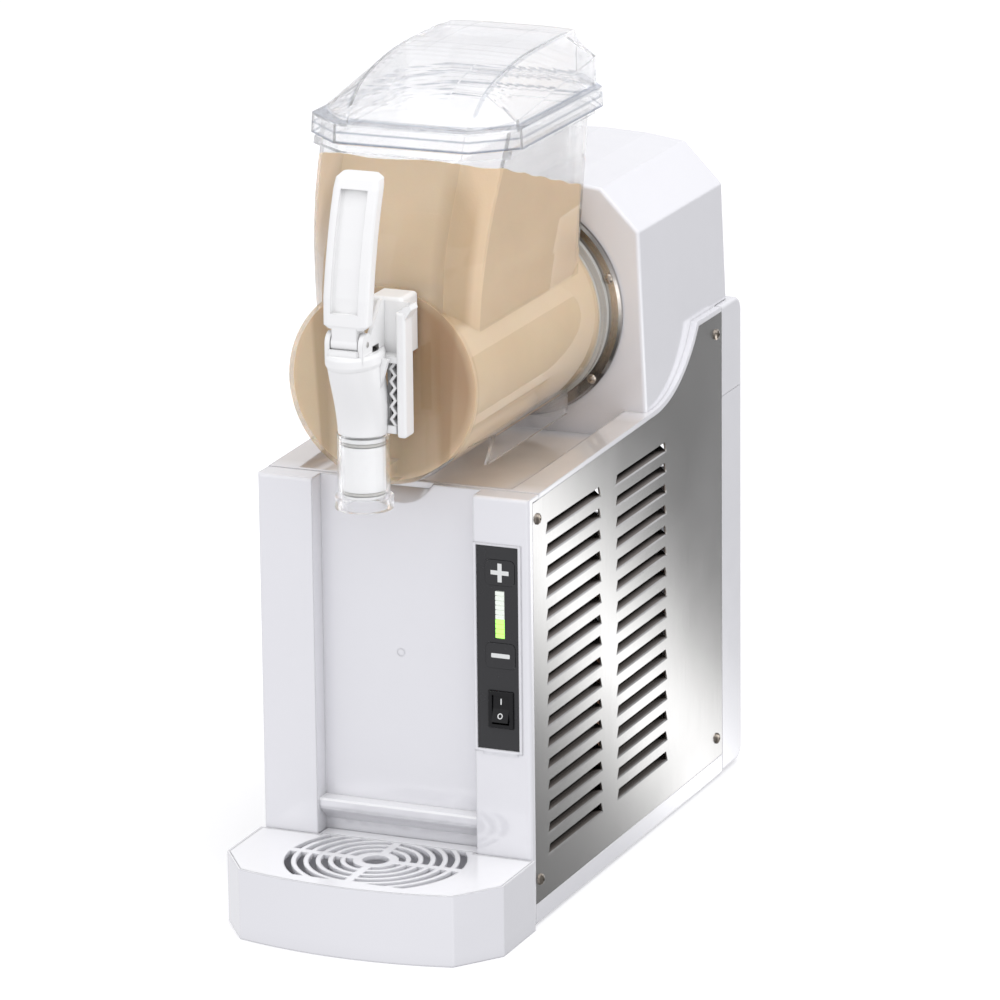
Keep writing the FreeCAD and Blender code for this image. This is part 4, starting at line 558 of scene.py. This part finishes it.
def slush_material():
    """Melting coffee ice: cream, with painted shade down the slanted corner, over the hopper's front
    and on the disc's upper right side.
    """
    m = Nodes("slush_mix")
    ice = m.noise(700.0, 3.0)
    tone = m.coloured(m.noise(30.0, 5.0, 0.6), rgb(0.70, 0.525, 0.34), rgb(0.74, 0.56, 0.37))
    # painted shade: a soft darker band down the slanted corner, which widens with height as the hopper
    # does
    corner_start = FRONT_HALF - SLUSH_INSET
    corner_width = m.math("ADD", m.math("MULTIPLY", m.axis("Z"), 0.0772), -15.23 * MM)
    across = m.math("DIVIDE", m.math("SUBTRACT", m.side(), corner_start * MM), corner_width)
    band = m.product(m.spread(across, -0.5, 0.1), m.spread(across, 0.95, 0.7),
                     m.spread(m.axis("Y"), back(24), back(14)))
    tone = m.blended(m.math("MULTIPLY", band, 0.58), tone, rgb(0.42, 0.27, 0.13))
    # painted shade: the front of the hopper's fill is a little darker
    front = m.product(m.spread(m.side(), 44 * MM, 36 * MM),
                      m.spread(m.axis("Y"), back(34), back(24)))
    tone = m.blended(front, tone, rgb(0.92, 0.95, 0.98), "MULTIPLY")
    # painted shade: the disc in front of the drum turns a darker brown towards its upper right side
    lean = m.math("ADD", m.math("MULTIPLY", m.axis("X"), 0.8), m.math("MULTIPLY", m.above_axis(), 0.5))
    reach = m.math("SQRT", m.math("ADD", m.product(m.axis("X"), m.axis("X")),
                                  m.product(m.above_axis(), m.above_axis())))
    brown = m.product(m.spread(lean, -30 * MM, 40 * MM), m.spread(reach, 57 * MM, 50 * MM),
                      m.spread(m.axis("Y"), back(-4.2), back(-5.0)))
    tone = m.blended(m.math("MULTIPLY", brown, 0.75), tone, rgb(0.38, 0.20, 0.085))
    m.colour(tone)
    m.roughness(m.span(ice, 0.35, 0.6))
    m.bump(ice, 0.15, 0.5 * MM)
    m.set(Subsurface_Weight=0.3, Subsurface_Radius=(0.012, 0.006, 0.003), Subsurface_Scale=0.5)
    return m.material


def air_above():
    """The space over the mix: a wavy sheet below, closed by a flat roof and four sides."""
    columns = [-66 + AIR_STEP * i for i in range(45)]
    rows = [-20 + AIR_STEP * j for j in range(70)]
    generator = random.Random(7)
    sheet = []
    for y in rows:
        for x in columns:
            z = slush_height(x, y) + generator.uniform(-0.2, 0.2)
            sheet.append(Vector((x * MM, back(y), z * MM)))
    count = len(columns)
    last = len(rows) - 1
    below = []
    for j in range(last):
        for i in range(count - 1):
            low = j * count + i
            below.append((low, low + 1, low + count + 1, low + count))
    base = len(sheet)
    roof = [Vector((v.x, v.y, AIR_TOP)) for v in sheet]
    faces = [tuple(reversed(face)) for face in below]
    faces += [tuple(index + base for index in face) for face in below]
    for i in range(count - 1):
        faces.append((i, i + 1, base + i + 1, base + i))
        low = last * count + i
        faces.append((low + 1, low, base + low, base + low + 1))
    for j in range(last):
        low = j * count
        faces.append((low + count, low, base + low, base + low + count))
        low = j * count + count - 1
        faces.append((low, low + count, base + low + count, base + low))
    return loose_object("air", sheet + roof, faces)


def slush():
    """The mix: the hopper's inside up to the level surface, and the barrel round the auger."""
    levels = [(SLUSH_FLOOR,) + HOPPER_LEVELS[0][1:]] + list(HOPPER_LEVELS)
    verts, faces = rings_mesh([hopper_ring(level, SLUSH_INSET) for level in levels])
    mix = loose_object("slush_fill", verts, faces)
    boolean(mix, air_above(), "DIFFERENCE")
    boolean(mix, cylinder_y("barrel", 55.0, -7.5, 171.5), "UNION")
    boolean(mix, cylinder_y("sweep", 53.1, -5.95, 180.0), "DIFFERENCE")
    mix.data.materials.clear()
    mix.data.materials.append(slush_material())
    smooth_by_angle(mix, 35.0)
    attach(mix, "bowl")


slush()


# ------------------------------------------------------------------ return spring of the tap


def squashed_spring():
    """A copy of the CAD spring's own shape that moves with the bowl, standing in for the hidden CAD
    spring.
    """
    spring = bpy.data.objects.new("return_spring", nodes["tap_spring"].data.copy())
    bpy.context.scene.collection.objects.link(spring)
    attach(spring, "bowl")
    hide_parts("tap_spring")
    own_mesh(spring)


squashed_spring()


# ------------------------------------------------------------------ printed signs

SIGN = moulded("sign_white", rgb(0.82, 0.83, 0.82), (0.35, 0.45))
SIGN_THICK = 0.12                    # millimetres, as all the sizes of the signs
KEY_ARM, KEY_BAR = 5.4, 1.25         # half the length and half the width of the plus's bars
MINUS_HALF = 5.6
ROCKER_PIVOT_Y, ROCKER_PIVOT_Z = 1.2, 128.4      # behind the front face, and over the floor
ROCKER_DIP = -1.9                    # the dished face's middle, before the tilt, from the pivot
ROCKER_SLOPE = 1.3 / 7.6             # rise of each half towards its end
ROCKER_TILT = math.radians(-12.0)    # half the rocker's travel, with its upper half pressed in


def sign_object(name, rings, body, cap_ends=True):
    """A printed mark, from closed rings of points, that moves with a body."""
    verts, faces = rings_mesh(rings, cap_ends)
    mesh = bpy.data.meshes.new(name)
    mesh.from_pydata([tuple(v) for v in verts], [], faces)
    mesh.validate()
    mesh.update()
    mesh.materials.append(SIGN)
    obj = bpy.data.objects.new(name, mesh)
    bpy.context.scene.collection.objects.link(obj)
    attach(obj, body)
    return obj


def bar_points(cx, cz, half_x, half_z, corner=0.35, steps=4):
    """A bar's outline with round corners."""
    points = []
    for sx, sz, start in ((1, 1, 0), (-1, 1, 90), (-1, -1, 180), (1, -1, 270)):
        for step in range(steps + 1):
            angle = math.radians(start + 90 * step / steps)
            points.append((cx + sx * (half_x - corner) + corner * math.cos(angle),
                           cz + sz * (half_z - corner) + corner * math.sin(angle)))
    return points


def oval_points(half_x, half_z, count=32):
    return [(half_x * math.cos(2 * math.pi * i / count), half_z * math.sin(2 * math.pi * i / count))
            for i in range(count)]


def flat_sign(name, outline, face_y, body):
    """A mark on an upright face: full size up to 0.6 of its thickness, then drawn in a little."""
    centre_x = sum(x for x, z in outline) / len(outline)
    centre_z = sum(z for x, z in outline) / len(outline)
    rings = []
    for scale, share in ((1.0, 0.0), (1.0, 0.6), (0.97, 1.0)):
        rings.append([Vector(((centre_x + (x - centre_x) * scale) * MM,
                              face_y - share * SIGN_THICK * MM,
                              (centre_z + (z - centre_z) * scale) * MM)) for x, z in outline])
    sign_object(name, rings, body)


def key_signs():
    """The plus and the minus, in the middle of their keys."""
    for key, sign, body in (("plus_button", "sign_plus", "plus_key"),
                            ("minus_button", "sign_minus", "minus_key")):
        low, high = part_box(key)
        x, z = (low.x + high.x) / 2 / MM, (low.z + high.z) / 2 / MM
        if sign == "sign_plus":
            a, b = KEY_ARM, KEY_BAR
            cross = [(b, b), (a, b), (a, -b), (b, -b), (b, -a), (-b, -a),
                     (-b, -b), (-a, -b), (-a, b), (-b, b), (-b, a), (b, a)]
            outline = [(x + u, z + v) for u, v in cross]
        else:
            outline = bar_points(x, z, MINUS_HALF, KEY_BAR, 0.5)
        flat_sign(sign, outline, low.y, body)


def rocker_place(x, along, lift):
    """A point on the upper or lower half of the rocker's dished face, in the object's frame."""
    low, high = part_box("power_rocker")
    y = ROCKER_DIP - ROCKER_SLOPE * abs(along) - lift
    turned_y = y * math.cos(ROCKER_TILT) - along * math.sin(ROCKER_TILT)
    turned_z = y * math.sin(ROCKER_TILT) + along * math.cos(ROCKER_TILT)
    return Vector(((low.x + high.x) / 2 + x * MM, back(ROCKER_PIVOT_Y + turned_y),
                   (ROCKER_PIVOT_Z + turned_z) * MM))


def rocker_sign(name, outer, inner, centre):
    """A raised mark on the rocker: a bar, or a ring where an inner outline is given."""
    if inner:
        steps = ((inner, 0.0), (inner, 1.0), (outer, 1.0), (outer, 0.0), (inner, 0.0))
    else:
        drawn_in = [(0.9 * x, 0.9 * z) for x, z in outer]
        steps = ((outer, 0.0), (outer, 2 / 3), (drawn_in, 1.0))
    rings = [[rocker_place(x, centre + z, share * SIGN_THICK) for x, z in outline]
             for outline, share in steps]
    obj = sign_object(name, rings, "rocker", cap_ends=not inner)
    bm = bmesh.new()
    bm.from_mesh(obj.data)
    bmesh.ops.remove_doubles(bm, verts=bm.verts, dist=1e-7)
    bmesh.ops.recalc_face_normals(bm, faces=bm.faces)
    bm.to_mesh(obj.data)
    bm.free()


key_signs()
rocker_sign("sign_on", bar_points(0, 0, 0.38, 1.75, 0.2), None, 4.2)
rocker_sign("sign_off", oval_points(1.55, 1.65), oval_points(1.0, 1.1), -4.0)


# ------------------------------------------------------------------ studio


def plate(name, corners, material):
    """A flat four-cornered part of the studio."""
    mesh = bpy.data.meshes.new(name)
    mesh.from_pydata(corners, [], [(0, 1, 2, 3)])
    mesh.materials.append(material)
    obj = bpy.data.objects.new(name, mesh)
    bpy.context.scene.collection.objects.link(obj)
    return obj


def make_floor():
    """A pale floor that throws no light back at the object."""
    m = Nodes("studio_floor")
    m.colour(m.coloured(m.noise(2.0, 3.0), rgb(0.9, 0.9, 0.9), rgb(0.92, 0.92, 0.92)))
    m.set(Roughness=0.7, Emission_Color=rgb(1, 1, 1), Emission_Strength=0.22)
    half = 6.0
    floor = plate("studio_floor", [(-half, -half, 0), (half, -half, 0), (half, half, 0),
                                   (-half, half, 0)], m.material)
    floor.visible_glossy = False
    floor.visible_diffuse = False


CARD_GAP = 0.13                                # from the object's side to the card
CARD_SHIFT = Vector((0.0, 0.306, -0.095))      # from a point of the panel to what it mirrors
CARD_REAR, CARD_FRONT = back(450), back(-400)
CARD_LOW, CARD_HIGH = -0.5, 0.45
CARD_GLOW = 2.35
BAND_ACROSS = Vector((0.0, 0.647, 0.762))      # direction across the card's bright diagonal band
BAND_MIDDLE = 0.178                            # from the casing's lower front edge, across the band
BAND_HALF_WIDTH = 0.14
BAND_TONES = ((0.0, 0.10), (0.15, 0.13), (0.3, 0.36), (0.42, 0.75), (0.5, 1.0), (0.58, 0.75),
              (0.7, 0.36), (0.85, 0.13), (1.0, 0.10))
ROOM_LIGHT, MIRRORED_ROOM_LIGHT = 0.86, 0.84
CAMERA_ANGLES = (23.01, 15.91, -0.63)          # azimuth, elevation and roll, in degrees
CAMERA_PLACE = (1.41835, -3.31070, 1.23653)
CAMERA_SENSOR, CAMERA_LENS = 36.0, 234.44      # in millimetres


def make_gradient_card():
    """A studio card that only shows in reflections: it gives the steel side its soft gradient."""
    m = Nodes("gradient_card")
    m.tree.nodes.remove(m.shader)
    emission = m.tree.nodes.new("ShaderNodeEmission")
    emission.inputs["Strength"].default_value = CARD_GLOW
    m.link(emission.outputs[0], m.out.inputs["Surface"])
    across = m.tree.nodes.new("ShaderNodeVectorMath")
    across.operation = "DOT_PRODUCT"
    across.inputs[1].default_value = BAND_ACROSS
    m.link(m.coords.outputs["Object"], across.inputs[0])
    middle = BAND_ACROSS.dot(Vector((0, back(0), 0)) + CARD_SHIFT) + BAND_MIDDLE
    place = m.spread(across.outputs["Value"], middle - BAND_HALF_WIDTH, middle + BAND_HALF_WIDTH)
    m.link(m.ramp(place, [(at, rgb(v, v, v)) for at, v in BAND_TONES]), emission.inputs["Color"])
    m.material.cycles.emission_sampling = "NONE"
    corners = [(CARD_FRONT, CARD_LOW), (CARD_FRONT, CARD_HIGH), (CARD_REAR, CARD_HIGH),
               (CARD_REAR, CARD_LOW)]
    card = plate("gradient_card", [Vector((HALF_WIDTH + CARD_GAP, y, z)) + CARD_SHIFT
                                   for y, z in corners], m.material)
    card.visible_camera = False
    card.visible_diffuse = False
    card.visible_transmission = False
    card.visible_shadow = False


def area_light(name, place, target, size, power):
    data = bpy.data.lights.new(name, "AREA")
    data.shape = "RECTANGLE"
    data.size, data.size_y = size
    data.energy = power
    lamp = bpy.data.objects.new(name, data)
    lamp.location = place
    direction = Vector(target) - Vector(place)
    lamp.rotation_euler = direction.to_track_quat("-Z", "Y").to_euler()
    bpy.context.scene.collection.objects.link(lamp)


def make_world():
    """Soft, even light from all round."""
    world = bpy.data.worlds.new("studio")
    world.use_nodes = True
    background = world.node_tree.nodes["Background"]
    background.inputs["Color"].default_value = rgb(0.97, 0.97, 1.0)
    # the studio walls show a little dimmer in reflections than they light the room
    path = world.node_tree.nodes.new("ShaderNodeLightPath")
    level = world.node_tree.nodes.new("ShaderNodeMapRange")
    level.inputs["To Min"].default_value = ROOM_LIGHT
    level.inputs["To Max"].default_value = MIRRORED_ROOM_LIGHT
    world.node_tree.links.new(path.outputs["Is Glossy Ray"], level.inputs["Value"])
    world.node_tree.links.new(level.outputs[0], background.inputs["Strength"])
    bpy.context.scene.world = world


def make_camera():
    """A long lens to the front right of the machine and a little above it, as in the photo."""
    azimuth, elevation, roll = (math.radians(angle) for angle in CAMERA_ANGLES)
    backward = Vector((math.sin(azimuth) * math.cos(elevation),
                       -math.cos(azimuth) * math.cos(elevation), math.sin(elevation)))
    right = Vector((0, 0, 1)).cross(backward).normalized()
    up = backward.cross(right)
    turned_right = math.cos(roll) * right + math.sin(roll) * up
    turned_up = -math.sin(roll) * right + math.cos(roll) * up
    data = bpy.data.cameras.new("camera")
    data.sensor_width = CAMERA_SENSOR
    data.lens = CAMERA_LENS
    data.clip_end = 50.0
    camera = bpy.data.objects.new("camera", data)
    rotation = Matrix((turned_right, turned_up, backward)).transposed()
    camera.matrix_world = Matrix.Translation(CAMERA_PLACE) @ rotation.to_4x4()
    bpy.context.scene.collection.objects.link(camera)
    bpy.context.scene.camera = camera


make_floor()
make_world()
make_gradient_card()
area_light("top", (0.7, -0.4, 3.0), (0, 0, 0.0), (3.6, 3.6), 40.0)
area_light("left_front", (-1.5, -2.4, 1.3), (0, 0, 0.25), (1.2, 1.6), 3.0)
area_light("right_side", (2.7, 0.0, 1.3), (0, 0, 0.25), (1.6, 1.6), 5.0)
make_camera()
bpy.context.scene.view_settings.view_transform = "Standard"
